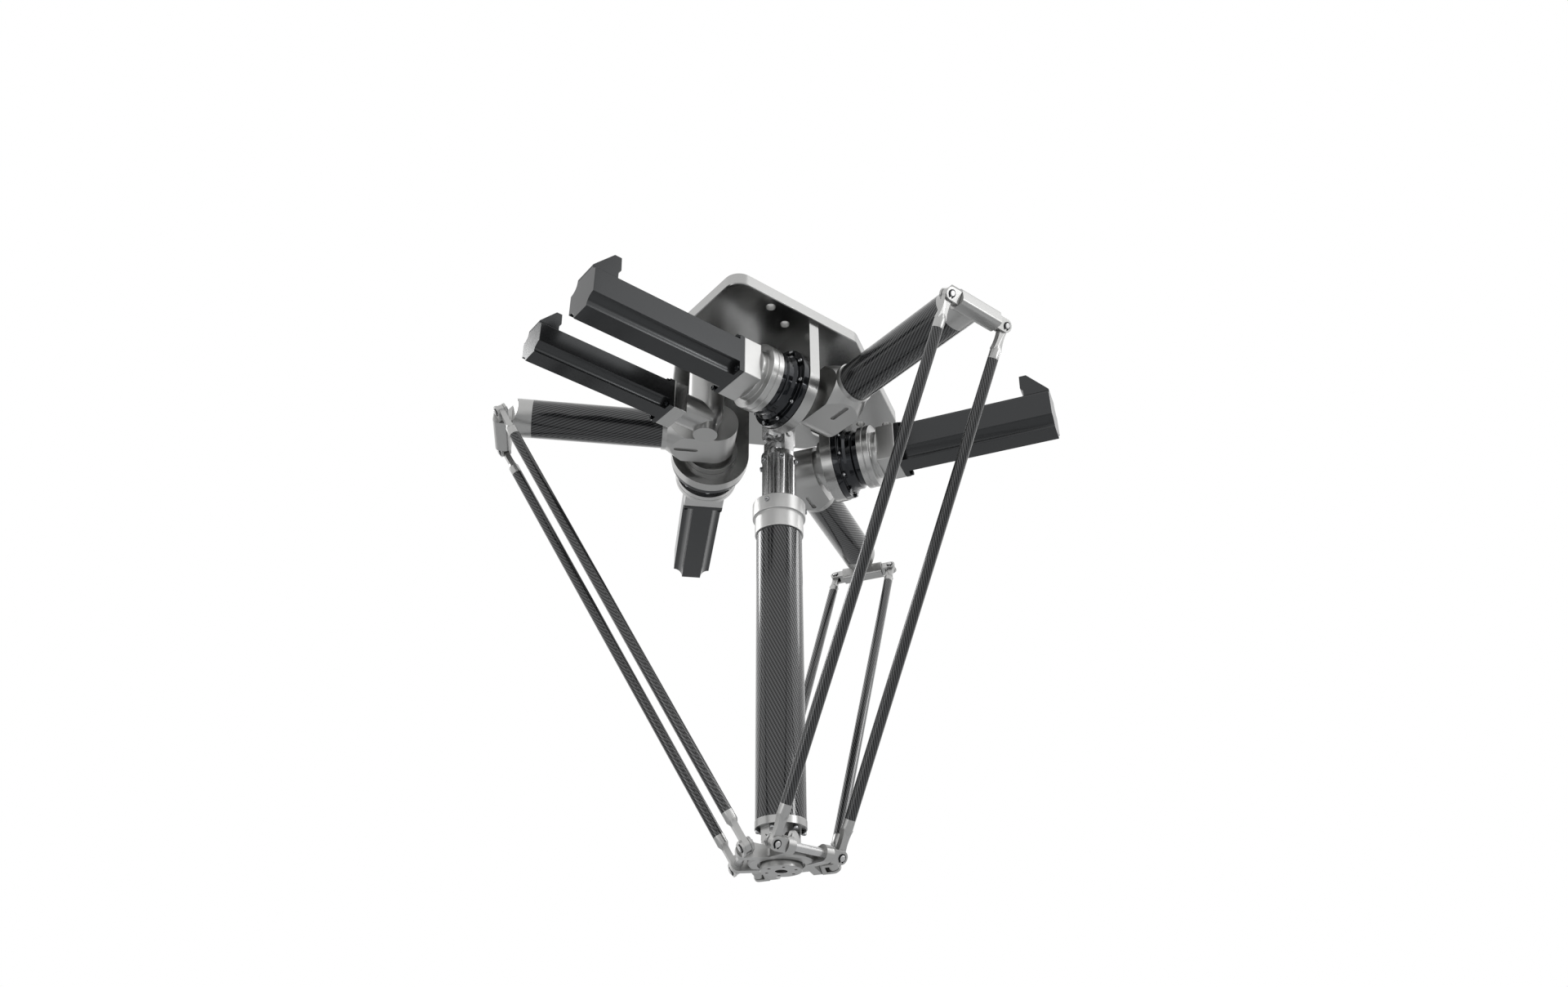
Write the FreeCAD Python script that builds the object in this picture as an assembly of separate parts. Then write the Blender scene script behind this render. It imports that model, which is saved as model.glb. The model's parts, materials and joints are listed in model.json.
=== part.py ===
import FreeCAD, Part
import math
import os

# Delta robot with three arms and a central turning shaft, in millimetres.
# The origin is the middle of the base plate's top face, which bolts up to a
# frame, and the robot hangs below it. Arm 1 points along +X.

# Linkage
ARMS = 3
SHOULDER_RADIUS = 127.5
SHOULDER_DROP = 116.0
ARM_LENGTH = 399.0
ELBOW_DROP = 32.8
ROD_LENGTH = 909.0
ROD_SPACING = 130.0
PLATFORM_RADIUS = 64.5

# Clearances
RUNNING_FIT = 0.05
SLIDING_FIT = 0.03
SEAT_GAP = 0.3

# Hexagon sockets of the cap screws, as shares of the head
SOCKET_SHARE = 0.52
SOCKET_DEPTH_SHARE = 0.6

# Base plate
PLATE_THICK = 25.0
PLATE_SIDE = 212.0
PLATE_BEVEL = 193.0
PLATE_BEVEL_ANGLE = 31.0
PLATE_TURN_SIDE = 264.0
PLATE_CORNER = 30.0
PLATE_EDGE = 1.5
CEILING_HOLE_R = 9.0
OUTER_HOLE_CIRCLE = 254.0
OUTER_HOLE_ANGLE = -41.4
INNER_HOLE_CIRCLE = 206.0
INNER_HOLE_ANGLE = -34.9

# Drive bracket
BRACKET_R = 77.0
BRACKET_FACE = 66.0
BRACKET_THICK = 22.0
PILOT_R = 46.0
RIB_THICK = 12.0
RIB_REACH = 42.0
RIB_SQUARE = 24.0
RIB_SLOPE = 34.0
BRACKET_SCREW_R = 4.0
BRACKET_SCREW_HEAD_R = 6.5
BRACKET_SCREW_HEAD = 8.0
BRACKET_SCREW_LENGTH = 40.0
BRACKET_SCREW_X = 48.0
BRACKET_SCREW_SPARE = 2.0

# Gearbox
FLANGE_R = 75.0
FLANGE_THICK = 12.0
GEAR_SHOULDER_R = 64.5
GEAR_BODY_R = 60.0
GEAR_WAIST_R = 56.0
GEAR_LENGTH = 48.0
GEAR_SHOULDER_END = 20.0
GEAR_BODY_START = 25.0
GEAR_BODY_END = 34.5
GEAR_WAIST_START = 37.5
FLANGE_SCREWS = 10
FLANGE_SCREW_ANGLE = 18.0
FLANGE_SCREW_CIRCLE = 69.6
FLANGE_SCREW_HEAD_R = 4.2
FLANGE_SCREW_HEAD = 5.0
HUB_SHAFT_R = 30.0
HUB_SHAFT_END = 112.0

# Input ring and square adapter
RING_R = 62.5
RING_BAND = 11.0
RING_EDGE = 1.0
RING_GROOVE = 2.0
RING_GROOVE_DEPTH = 1.6
NECK_R = 47.0
NECK_LENGTH = 11.0
ADAPTER_LENGTH = 38.0
ADAPTER_EDGE = 2.5

# Motors
MOTOR_SIDE = 80.0
MOTOR_LENGTH = 308.0
MOTOR_FRONT = 10.0
COVER_THICK = 14.0
GROOVE_SHARE = 0.17
COVER_BEVEL_SHARE = 0.14
HOOD_HEIGHT = 34.0
HOOD_LENGTH = 55.0
HOOD_WIDTH_SHARE = 0.9
HOOD_ROOT_SHARE = 0.1
HOOD_REAR_SHARE = 0.28
HOOD_PEAK_SHARE = 0.66
HOOD_FRONT_SHARE = 0.86
MOTOR_SCREW_INSET = 4.5
MOTOR_SCREW_R = 5.0
MOTOR_SCREW_HEAD = 6.0

# Turning drive of the central shaft
TURN_SIDE = 61.0
TURN_DROP = 31.0
TURN_AXIS_Y = -174.0
TURN_ADAPTER = 28.0
TURN_INPUT_R = 29.5
TURN_INPUT_REACH = 62.0
TURN_MOTOR_LENGTH = 274.0
TURN_BODY_R = 33.5
TURN_FOOT_R = 22.7
TURN_FOOT_DROP = 67.0
TURN_FOOT_STRAIGHT = 8.0
TURN_TAPER = 44.0
TURN_BOW_SHARE = 0.14

# Arm hub, tube and elbow cap
HUB_R = 44.0
HUB_HALF = 38.5
HUB_NECK_R = 36.0
HUB_NECK = 12.0
HUB_RING_R = 52.0
HUB_CONE_SLOPE = 31.6
SOCKET_R = 39.0
SOCKET_END = 100.0
SOCKET_DEPTH = 36.0
SOCKET_STRAIGHT = 9.0
SLOT_START = 30.0
SLOT_LENGTH = 46.0
SLOT_WIDTH = 9.0
SLOT_DEPTH = 5.0
TUBE_R = 36.8
TUBE_WALL = 4.0
CAP_LENGTH = 53.0
CAP_SPIGOT = 30.0
CAP_FACET_TOP = 22.0
CAP_CHEEK = 19.0
CAP_WEDGE = 26.0
CAP_WEDGE_SLANT = 12.0
CAP_FACET_FOOT = 4.5
SLEEVE_HALF = 15.0
SLEEVE_ROUND = 8.0

# Cross bar, clevises, pins and rods
BAR_R = 9.0
CLEVIS_BASE = 46.0
CLEVIS_WEB = 8.0
CLEVIS_HALF_DEPTH = 9.6
CLEVIS_HALF_HEIGHT = 11.2
EYE_HALF_THICK = 4.8
EYE_R = 10.0
PIN_R = 5.0
PIN_HEAD_R = 7.2
PIN_HEAD = 2.0
PIN_TIP = 1.0
ROD_END_LENGTH = 60.0
FERRULE = 16.0
FERRULE_TAPER = 10.0
NECK_HALF_WIDTH = 6.5
NECK_SHARE = 0.45
ROD_R = 9.5
ROD_WALL = 2.0
ROD_SPIGOT = 30.0

# Platform
AXLE_R = 7.0
BOSS_R = 13.5
BOSS_LENGTH = 15.0
HUB_DISC_R = 54.0
DISC_FOOT_EDGE = 3.0
DISC_TOP_EDGE = 4.0
BOSS_ROOT = 22.6
DISC_TOP = 6.0
DISC_BOTTOM = 11.0
CROWN_R = 44.0
CROWN_HEIGHT = 6.0
CROWN_SLOPE = 8.0
TOOL_BEARING_R = 24.0
RECESS_R = 38.5
RECESS_DEPTH = 4.0

# Central shaft, heights measured down from the shoulder axes
HOUSING_R = 34.0
HOUSING_FLANGE_R = 46.0
HOUSING_FLANGE = 10.0
HOUSING_BOTTOM = -45.0
SPINDLE_R = 15.0
YOKE_TOP = -23.0
UPPER_CROSS = 6.0
HEAD_TOP = 45.0
HEAD_THICK = 9.0
GUIDE_RODS = 6
GUIDE_START_ANGLE = 30.0
GUIDE_R = 9.0
GUIDE_CIRCLE = 25.0
GUIDE_END = 470.0
COLLAR_TOP = 156.0
COLLAR_STEP = 187.0
COLLAR_BOTTOM = 222.0
COLLAR_R = 49.7
COLLAR_LOW_R = 45.2
COLLAR_DECK = 20.0
COLLAR_EDGE = 1.5
SHAFT_TUBE_R = 42.3
SHAFT_TUBE_WALL = 3.3
TUBE_SEAT = 32.0
END_RING_RISE = 45.6
END_RING_THICK = 13.0
END_RING_R = 43.0
END_RING_SPIGOT = 20.0
END_SCREWS = 6
END_SCREW_CIRCLE = 37.5
END_SCREW_R = 4.2
END_SCREW_HEAD = 7.0
SET_SCREW_R = 3.5
SET_SCREW_PROUD = 3.0
SET_SCREW_SUNK = 1.0
SET_SCREW_DROP = 10.0
LOWER_CROSS_RISE = 27.0
YOKE_EAR_R = 11.0
YOKE_EAR_THICK = 11.0
YOKE_SPREAD = 27.0
CROSS_BLOCK = 8.5
LOW_FOOT_THICK = 3.0
CROSS_PIN_R = 6.0
CROSS_PIN_PROUD = 3.0
TOOL_R = 34.0
TOOL_THICK = 13.0
TOOL_EDGE = 1.0
TOOL_BORE_R = 10.0
TOOL_HOLES = 6
TOOL_HOLE_START_ANGLE = 30.0
TOOL_HOLE_CIRCLE = 25.0
TOOL_HOLE_R = 2.6
TOOL_HOLE_DEPTH = 9.0

# Places worked out from the sizes above
X_AXIS = FreeCAD.Vector(1, 0, 0)
Y_AXIS = FreeCAD.Vector(0, 1, 0)
Z_AXIS = FreeCAD.Vector(0, 0, 1)
FULL_TURN = 360.0
SHOULDER_Z = -PLATE_THICK - SHOULDER_DROP
ELBOW_X = SHOULDER_RADIUS + ARM_LENGTH
ELBOW_Z = SHOULDER_Z - ELBOW_DROP
ROD_LEAN = math.degrees(math.asin((ELBOW_X - PLATFORM_RADIUS) / ROD_LENGTH))
PLATFORM_Z = ELBOW_Z - ROD_LENGTH * math.cos(math.radians(ROD_LEAN))
BRACKET_BACK = BRACKET_FACE + BRACKET_THICK
RING_START = BRACKET_BACK + GEAR_LENGTH
NECK_START = RING_START + 2 * RING_BAND + RING_GROOVE
ADAPTER_START = NECK_START + NECK_LENGTH
MOTOR_START = ADAPTER_START + ADAPTER_LENGTH
CAP_START = ARM_LENGTH - CAP_LENGTH
TURN_Z = SHOULDER_Z - TURN_DROP
TURN_ADAPTER_Y = TURN_AXIS_Y - TURN_INPUT_REACH
TURN_MOTOR_Y = TURN_ADAPTER_Y - TURN_ADAPTER
PIN_Y = ROD_SPACING / 2
END_RING_BOTTOM = SHOULDER_Z - PLATFORM_Z - END_RING_RISE
END_RING_TOP = END_RING_BOTTOM - END_RING_THICK


def vec(x, y, z):
    return FreeCAD.Vector(x, y, z)


def cylinder(radius, start, end):
    """Round bar between two points."""
    axis = end - start
    return Part.makeCylinder(radius, axis.Length, start, axis)


def box(x_range, y_range, z_range):
    size = [high - low for low, high in (x_range, y_range, z_range)]
    return Part.makeBox(*size, vec(x_range[0], y_range[0], z_range[0]))


def prism(points, travel):
    """Straight-sided solid from a closed outline."""
    return Part.Face(Part.makePolygon(points + points[:1])).extrude(travel)


def turned(outline, centre, axis):
    """Solid of revolution: outline is (along the axis, radius) pairs, closed on the axis."""
    side = Z_AXIS if abs(axis.z) < 0.5 else X_AXIS
    points = [centre + axis * along + side * radius for along, radius in outline]
    return Part.Face(Part.makePolygon(points + points[:1])).revolve(centre, axis, FULL_TURN)


def fuse(pieces):
    return pieces[0].multiFuse(pieces[1:]).removeSplitter()


def cut(shape, tools):
    return shape.cut(tools)


def mirror_y(shape):
    return shape.mirror(vec(0, 0, 0), Y_AXIS)


def turn(shape, degrees, centre=vec(0, 0, 0), axis=Z_AXIS):
    copy = shape.copy()
    copy.rotate(centre, axis, degrees)
    return copy


def arm_angle(index):
    return -120.0 * index if index < 2 else 120.0


def for_arm(shape, index):
    """Arm 1's shape turned to the place of another arm."""
    return turn(shape, arm_angle(index))


def ring_of(shape, count, centre, axis, start=0.0):
    return [turn(shape, start + FULL_TURN * step / count, centre, axis) for step in range(count)]


def save(name, shapes):
    shape = shapes[0] if len(shapes) == 1 else Part.makeCompound(shapes)
    shape.exportStep("parts/" + name + ".step")


def save_for_arms(name, pieces):
    for index in range(ARMS):
        save("%s_%d" % (name, index + 1), [for_arm(piece, index) for piece in pieces])


def socket_screw(radius, head, foot, axis):
    """Cap screw whose head stands on foot along axis, with a hexagon socket."""
    side = Z_AXIS if abs(axis.z) < 0.5 else X_AXIS
    top = foot + axis * head
    corner = Part.Vertex(top + side * radius * SOCKET_SHARE)
    corners = [turn(corner, 60.0 * k, top, axis).Point for k in range(6)]
    socket = prism(corners, axis * (-SOCKET_DEPTH_SHARE * head))
    return cylinder(radius, foot, top).cut(socket)


# Base plate
def plate_corner(turn_a, reach_a, turn_b, reach_b):
    """Where two sides of the plate meet, each given by its direction and reach."""
    a, b = math.radians(turn_a), math.radians(turn_b)
    det = math.sin(b - a)
    x = (reach_a * math.sin(b) - reach_b * math.sin(a)) / det
    y = (reach_b * math.cos(a) - reach_a * math.cos(b)) / det
    return vec(x, y, -PLATE_THICK)


def plate_sides():
    sides = []
    for step in range(ARMS):
        sides.append((120.0 * step, PLATE_SIDE))
        sides.append((120.0 * step + PLATE_BEVEL_ANGLE, PLATE_BEVEL))
    sides[-1] = (270.0, PLATE_TURN_SIDE)
    return sides


def ceiling_holes():
    holes = []
    circles = ((OUTER_HOLE_CIRCLE, OUTER_HOLE_ANGLE), (INNER_HOLE_CIRCLE, INNER_HOLE_ANGLE))
    for radius, angle in circles:
        spot = turn(Part.Vertex(vec(radius, 0, 0)), angle).Point
        drill = cylinder(CEILING_HOLE_R, spot - Z_AXIS * 2 * PLATE_THICK, spot + Z_AXIS)
        holes += ring_of(drill, ARMS, vec(0, 0, 0), Z_AXIS)
    return holes


def bracket_screw_spots():
    middle = -BRACKET_FACE - BRACKET_THICK / 2
    return [vec(SHOULDER_RADIUS + side * BRACKET_SCREW_X, middle, 0) for side in (-1, 1)]


def base_plate():
    sides = plate_sides()
    corners = [plate_corner(*sides[k - 1], *sides[k]) for k in range(len(sides))]
    plate = prism(corners, Z_AXIS * PLATE_THICK)
    uprights = [e for e in plate.Edges if abs(e.tangentAt(e.FirstParameter).z) > 0.9]
    plate = plate.makeFillet(PLATE_CORNER, uprights)
    rims = [e for e in plate.Edges if abs(e.tangentAt(e.FirstParameter).z) < 0.1]
    plate = plate.makeChamfer(PLATE_EDGE, rims)
    tools = ceiling_holes()
    sink = BRACKET_SCREW_HEAD + SEAT_GAP
    for spot in bracket_screw_spots():
        head_r = BRACKET_SCREW_HEAD_R + SEAT_GAP
        seat = cylinder(head_r, spot - Z_AXIS * sink, spot + Z_AXIS)
        hole = cylinder(BRACKET_SCREW_R + SLIDING_FIT, spot - Z_AXIS * 2 * PLATE_THICK, spot)
        for index in range(ARMS):
            tools += [for_arm(seat, index), for_arm(hole, index)]
    return cut(plate, tools)


def bracket():
    """Plate across the shoulder axis, round below, with a rib on the arm's side."""
    low, high = SHOULDER_RADIUS - BRACKET_R, SHOULDER_RADIUS + BRACKET_R
    depth = (-BRACKET_BACK, -BRACKET_FACE)
    body = box((low, high), depth, (SHOULDER_Z, -PLATE_THICK))
    centre = vec(SHOULDER_RADIUS, -BRACKET_FACE, SHOULDER_Z)
    back = vec(SHOULDER_RADIUS, -BRACKET_BACK, SHOULDER_Z)
    body = fuse([body, cylinder(BRACKET_R, back, centre), bracket_rib()])
    tools = [cylinder(PILOT_R, back - Y_AXIS, centre + Y_AXIS)]
    for spot in bracket_screw_spots():
        deep = PLATE_THICK + BRACKET_SCREW_LENGTH
        tools.append(cylinder(BRACKET_SCREW_R + SLIDING_FIT, spot - Z_AXIS * deep, spot))
    return cut(body, tools)


def bracket_rib():
    low = SHOULDER_RADIUS - RIB_THICK / 2
    top, root = -PLATE_THICK, -BRACKET_FACE
    square = top - RIB_SQUARE
    foot = square - RIB_SLOPE
    outline = [vec(low, root, top), vec(low, root + RIB_REACH, top),
               vec(low, root + RIB_REACH, square), vec(low, root, foot)]
    return prism(outline, X_AXIS * RIB_THICK)


def bracket_screws():
    down = Z_AXIS * BRACKET_SCREW_HEAD
    screws = []
    for spot in bracket_screw_spots():
        shank = PLATE_THICK - BRACKET_SCREW_HEAD + BRACKET_SCREW_LENGTH - BRACKET_SCREW_SPARE
        screw = socket_screw(BRACKET_SCREW_HEAD_R, BRACKET_SCREW_HEAD, spot - down, Z_AXIS)
        thread = cylinder(BRACKET_SCREW_R, spot - down - Z_AXIS * shank, spot - down)
        screws.append(screw.fuse(thread))
    return [for_arm(screw, index) for index in range(ARMS) for screw in screws]


# Shoulder drive
def on_shoulder(reach):
    return vec(SHOULDER_RADIUS, -reach, SHOULDER_Z)


def gearbox():
    """Flange and stepped housing, with the bore in which the hub's shaft turns."""
    outline = [(-BRACKET_THICK + SEAT_GAP, 0), (-BRACKET_THICK + SEAT_GAP, PILOT_R - SLIDING_FIT),
               (0, PILOT_R - SLIDING_FIT), (0, FLANGE_R), (FLANGE_THICK, FLANGE_R),
               (FLANGE_THICK, GEAR_SHOULDER_R), (GEAR_SHOULDER_END, GEAR_SHOULDER_R),
               (GEAR_BODY_START, GEAR_BODY_R), (GEAR_BODY_END, GEAR_BODY_R),
               (GEAR_WAIST_START, GEAR_WAIST_R), (GEAR_LENGTH, GEAR_WAIST_R), (GEAR_LENGTH, 0)]
    body = turned(outline, on_shoulder(BRACKET_BACK), -Y_AXIS)
    bore = cylinder(HUB_SHAFT_R + RUNNING_FIT, on_shoulder(BRACKET_FACE - 1),
                    on_shoulder(HUB_SHAFT_END + SEAT_GAP))
    return cut(body, [bore])


def flange_screws():
    axis = -Y_AXIS
    seat = on_shoulder(BRACKET_BACK + FLANGE_THICK) + Z_AXIS * FLANGE_SCREW_CIRCLE
    screw = socket_screw(FLANGE_SCREW_HEAD_R, FLANGE_SCREW_HEAD, seat, axis)
    ring = ring_of(screw, FLANGE_SCREWS, on_shoulder(0), axis, FLANGE_SCREW_ANGLE)
    return [for_arm(one, index) for index in range(ARMS) for one in ring]


def input_ring():
    """Two bands with a groove, a neck and the square adapter to the motor."""
    groove = RING_R - RING_GROOVE_DEPTH
    split = RING_BAND + RING_GROOVE
    end = split + RING_BAND
    outline = [(0, 0), (0, RING_R - RING_EDGE), (RING_EDGE, RING_R), (RING_BAND, RING_R), (RING_BAND, groove),
               (split, groove), (split, RING_R), (end - RING_EDGE, RING_R), (end, RING_R - RING_EDGE),
               (end, NECK_R), (end + NECK_LENGTH, NECK_R), (end + NECK_LENGTH, 0)]
    ring = turned(outline, on_shoulder(RING_START), -Y_AXIS)
    return fuse([ring, square_block(MOTOR_SIDE, on_shoulder(ADAPTER_START), ADAPTER_LENGTH)])


def square_block(side, face, length, bevel=ADAPTER_EDGE):
    """Square block behind a face point, away from the arm, with bevelled long edges."""
    half = side / 2
    block = box((face.x - half, face.x + half), (face.y - length, face.y),
                (face.z - half, face.z + half))
    long_edges = [e for e in block.Edges if abs(e.tangentAt(e.FirstParameter).y) > 0.9]
    return block.makeChamfer(bevel, long_edges)


# Motors
def grooves(side, face, start, length):
    """Round channels along the four long corners of a motor."""
    half = side / 2
    tools = []
    for sx in (-1, 1):
        for sz in (-1, 1):
            spot = face + vec(sx * half, -start, sz * half)
            tools.append(cylinder(side * GROOVE_SHARE, spot, spot - Y_AXIS * length))
    return tools


def motor_body(side, face, length):
    half = side / 2
    back = length - COVER_THICK
    block = box((face.x - half, face.x + half), (face.y - back, face.y),
                (face.z - half, face.z + half))
    return cut(block, grooves(side, face, MOTOR_FRONT, length))


def motor_cover(side, face, length):
    """Rear cover with flat corners, and the hood of its sockets on top."""
    rear = face - Y_AXIS * length
    plate = square_block(side, rear + Y_AXIS * COVER_THICK, COVER_THICK, side * COVER_BEVEL_SHARE)
    return fuse([plate, motor_hood(side, rear)])


def motor_hood(side, rear):
    """Hood that leans forward from the rear face and is slanted back to its foot."""
    wide = side * HOOD_WIDTH_SHARE
    high = HOOD_HEIGHT * side / MOTOR_SIDE
    long = HOOD_LENGTH * side / MOTOR_SIDE
    top = rear.z + side / 2
    left = rear.x - wide / 2
    root = -HOOD_ROOT_SHARE * high
    profile = ((0, root), (0, HOOD_REAR_SHARE * high), (HOOD_PEAK_SHARE * long, high), (long, high),
               (HOOD_FRONT_SHARE * long, SEAT_GAP), (COVER_THICK, SEAT_GAP), (COVER_THICK, root))
    return prism([vec(left, rear.y + y, top + z) for y, z in profile], X_AXIS * wide)


def motor_screws(side, face):
    """Screws through the front flange, standing in the corner channels."""
    inset = side / 2 - MOTOR_SCREW_INSET
    radius = MOTOR_SCREW_R * side / MOTOR_SIDE
    screws = []
    for sx in (-1, 1):
        for sz in (-1, 1):
            spot = face + vec(sx * inset, -MOTOR_FRONT, sz * inset)
            screws.append(socket_screw(radius, MOTOR_SCREW_HEAD, spot, -Y_AXIS))
    return screws


def turn_face():
    return vec(0, TURN_MOTOR_Y, TURN_Z)


# Right-angle gearbox of the central shaft
def turn_gearbox():
    """Upright housing that narrows to a round foot, with a round input on its side."""
    foot = SHOULDER_Z - TURN_FOOT_DROP
    neck = foot + TURN_FOOT_STRAIGHT
    wide = neck + TURN_TAPER
    middle = (neck + wide) / 2
    half = (TURN_BODY_R + TURN_FOOT_R) / 2
    bow = (TURN_BODY_R - TURN_FOOT_R) * TURN_BOW_SHARE

    def at(radius, height):
        return vec(radius, TURN_AXIS_Y, height)

    lower = Part.Arc(at(TURN_FOOT_R, neck), at((TURN_FOOT_R + half) / 2 - bow, (neck + middle) / 2),
                     at(half, middle)).toShape()
    upper = Part.Arc(at(half, middle), at((TURN_BODY_R + half) / 2 + bow, (wide + middle) / 2),
                     at(TURN_BODY_R, wide)).toShape()
    line = Part.makePolygon([at(TURN_BODY_R, wide), at(TURN_BODY_R, -PLATE_THICK),
                             at(0, -PLATE_THICK), at(0, foot), at(TURN_FOOT_R, foot),
                             at(TURN_FOOT_R, neck)])
    outline = Part.Wire([lower, upper] + line.Edges)
    body = Part.Face(outline).revolve(at(0, 0), Z_AXIS, FULL_TURN)
    entry = vec(0, TURN_ADAPTER_Y, TURN_Z)
    return fuse([body, cylinder(TURN_INPUT_R, entry, vec(0, TURN_AXIS_Y, TURN_Z))])


def turn_adapter():
    return square_block(TURN_SIDE, vec(0, TURN_ADAPTER_Y, TURN_Z), TURN_ADAPTER)


# Arm
def arm_hub():
    """Hub with its drive shaft, cut flat above and below and coned to a round socket."""
    centre = on_shoulder(0)
    length = SOCKET_END
    near, far = on_shoulder(HUB_HALF), on_shoulder(-HUB_HALF)
    barrel = cylinder(HUB_R, near, far)
    block = box((centre.x, centre.x + length), (-HUB_HALF, HUB_HALF),
                (centre.z - HUB_R, centre.z + HUB_R))
    wide = math.hypot(HUB_HALF, HUB_R) + SEAT_GAP
    cone_run = (wide - SOCKET_R) / math.tan(math.radians(HUB_CONE_SLOPE))
    cone_end = length - SOCKET_STRAIGHT
    outline = [(-HUB_R, 0), (-HUB_R, wide), (cone_end - cone_run, wide),
               (cone_end, SOCKET_R), (length, SOCKET_R), (length, 0)]
    form = turned(outline, centre, X_AXIS)
    hub = fuse([barrel, block]).common(form)
    neck = cylinder(HUB_NECK_R, near, on_shoulder(HUB_HALF + HUB_NECK))
    ring = cylinder(HUB_RING_R, on_shoulder(HUB_HALF + HUB_NECK), on_shoulder(BRACKET_FACE - SEAT_GAP))
    shaft = cylinder(HUB_SHAFT_R, on_shoulder(HUB_HALF), on_shoulder(HUB_SHAFT_END))
    hub = fuse([hub, neck, ring, shaft])
    socket = cylinder(TUBE_R + SLIDING_FIT, centre + X_AXIS * (length - SOCKET_DEPTH),
                      centre + X_AXIS * (length + 1))
    return cut(hub, [socket, hub_slot(centre)])


def hub_slot(centre):
    low, high = centre.z - HUB_R - 1, centre.z - HUB_R + SLOT_DEPTH
    start = centre.x + SLOT_START + SLOT_WIDTH / 2
    end = centre.x + SLOT_START + SLOT_LENGTH - SLOT_WIDTH / 2
    half = SLOT_WIDTH / 2
    ends = [cylinder(half, vec(x, 0, low), vec(x, 0, high)) for x in (start, end)]
    return fuse([box((start, end), (-half, half), (low, high))] + ends)


def arm_tube():
    start = on_shoulder(0) + X_AXIS * (SOCKET_END - SOCKET_DEPTH)
    end = on_shoulder(0) + X_AXIS * CAP_START
    inner = TUBE_R - TUBE_WALL
    return cylinder(TUBE_R, start, end).cut(cylinder(inner, start - X_AXIS, end + X_AXIS))


def elbow_cap():
    """Round cap that is cut down to two cheeks and a facet over the cross sleeve."""
    start = on_shoulder(0) + X_AXIS * CAP_START
    reach = CAP_LENGTH + SLEEVE_HALF
    barrel = cylinder(TUBE_R, start, start + X_AXIS * reach)
    barrel = barrel.cut(cap_cuts(start))
    spigot_r = TUBE_R - TUBE_WALL - SLIDING_FIT
    spigot = cylinder(spigot_r, start - X_AXIS * CAP_SPIGOT, start + X_AXIS)
    half = CLEVIS_BASE - SEAT_GAP
    sleeve = box((ELBOW_X - SLEEVE_HALF, ELBOW_X + SLEEVE_HALF), (-half, half),
                 (ELBOW_Z - SLEEVE_HALF, ELBOW_Z + SLEEVE_HALF))
    long_edges = [e for e in sleeve.Edges if abs(e.tangentAt(e.FirstParameter).y) > 0.9]
    sleeve = sleeve.makeFillet(SLEEVE_ROUND, long_edges)
    ends = [vec(ELBOW_X, side * (half + 1), ELBOW_Z) for side in (-1, 1)]
    bore = cylinder(BAR_R + RUNNING_FIT, *ends)
    return cut(fuse([barrel, spigot, sleeve]), [bore])


def cap_cuts(start):
    """Facet over the sleeve and one wedge on each side."""
    end = ELBOW_X + SLEEVE_HALF
    beyond = end + 1
    top, foot = SHOULDER_Z + TUBE_R + 1, ELBOW_Z + CAP_FACET_FOOT
    facet = [vec(start.x + CAP_FACET_TOP, -TUBE_R, top), vec(beyond, -TUBE_R, top),
             vec(beyond, -TUBE_R, foot), vec(end, -TUBE_R, foot)]
    low, wide = SHOULDER_Z - TUBE_R - 1, TUBE_R + 1
    corner = start.x + CAP_WEDGE
    wedge = [vec(corner, wide, low), vec(beyond, wide, low), vec(beyond, CAP_CHEEK, low),
             vec(corner + CAP_WEDGE_SLANT, CAP_CHEEK, low)]
    side = prism(wedge, Z_AXIS * 2 * wide)
    return [prism(facet, Y_AXIS * 2 * TUBE_R), side, mirror_y(side)]


# Forearm, drawn with its cross bar on the origin and its rods straight down
def lean(shape):
    """Forearm shape swung to its lean and set on the elbow."""
    placed = turn(shape, ROD_LEAN, vec(0, 0, 0), Y_AXIS)
    placed.translate(vec(ELBOW_X, 0, ELBOW_Z))
    return placed


def clevis():
    """Clevis that opens along the bar, with round ears and a cross hole for the pin."""
    depth = (-CLEVIS_HALF_DEPTH, CLEVIS_HALF_DEPTH)
    height = (-CLEVIS_HALF_HEIGHT, CLEVIS_HALF_HEIGHT)
    body = box(depth, (CLEVIS_BASE, PIN_Y), height)
    left, right = vec(depth[0], PIN_Y, 0), vec(depth[1], PIN_Y, 0)
    body = fuse([body, cylinder(CLEVIS_HALF_HEIGHT, left, right)])
    half = EYE_HALF_THICK + SEAT_GAP
    outer = PIN_Y + CLEVIS_HALF_HEIGHT + 1
    gap = box((-half, half), (CLEVIS_BASE + CLEVIS_WEB, outer), (height[0] - 1, height[1] + 1))
    hole = cylinder(PIN_R + SLIDING_FIT, left - X_AXIS, right + X_AXIS)
    return cut(body, [gap, hole])


def cross_bar():
    bar = cylinder(BAR_R, vec(0, -CLEVIS_BASE, 0), vec(0, CLEVIS_BASE, 0))
    ear = clevis()
    return fuse([bar, ear, mirror_y(ear)])


def low_clevises():
    ear = clevis()
    ear.translate(vec(0, 0, -ROD_LENGTH))
    return [ear, mirror_y(ear)]


def joint_pin():
    """Pin across a clevis, with its head and its retaining ring."""
    half = CLEVIS_HALF_DEPTH
    tip = half + PIN_HEAD + PIN_TIP
    pin = cylinder(PIN_R, vec(-tip, PIN_Y, 0), vec(tip, PIN_Y, 0))
    head = cylinder(PIN_HEAD_R, vec(half, PIN_Y, 0), vec(half + PIN_HEAD, PIN_Y, 0))
    clip = cylinder(PIN_HEAD_R, vec(-half - PIN_HEAD, PIN_Y, 0), vec(-half, PIN_Y, 0))
    return fuse([pin, head, clip])


def joint_pins():
    upper = joint_pin()
    lower = upper.copy()
    lower.translate(vec(0, 0, -ROD_LENGTH))
    return [upper, mirror_y(upper), lower, mirror_y(lower)]


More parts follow.
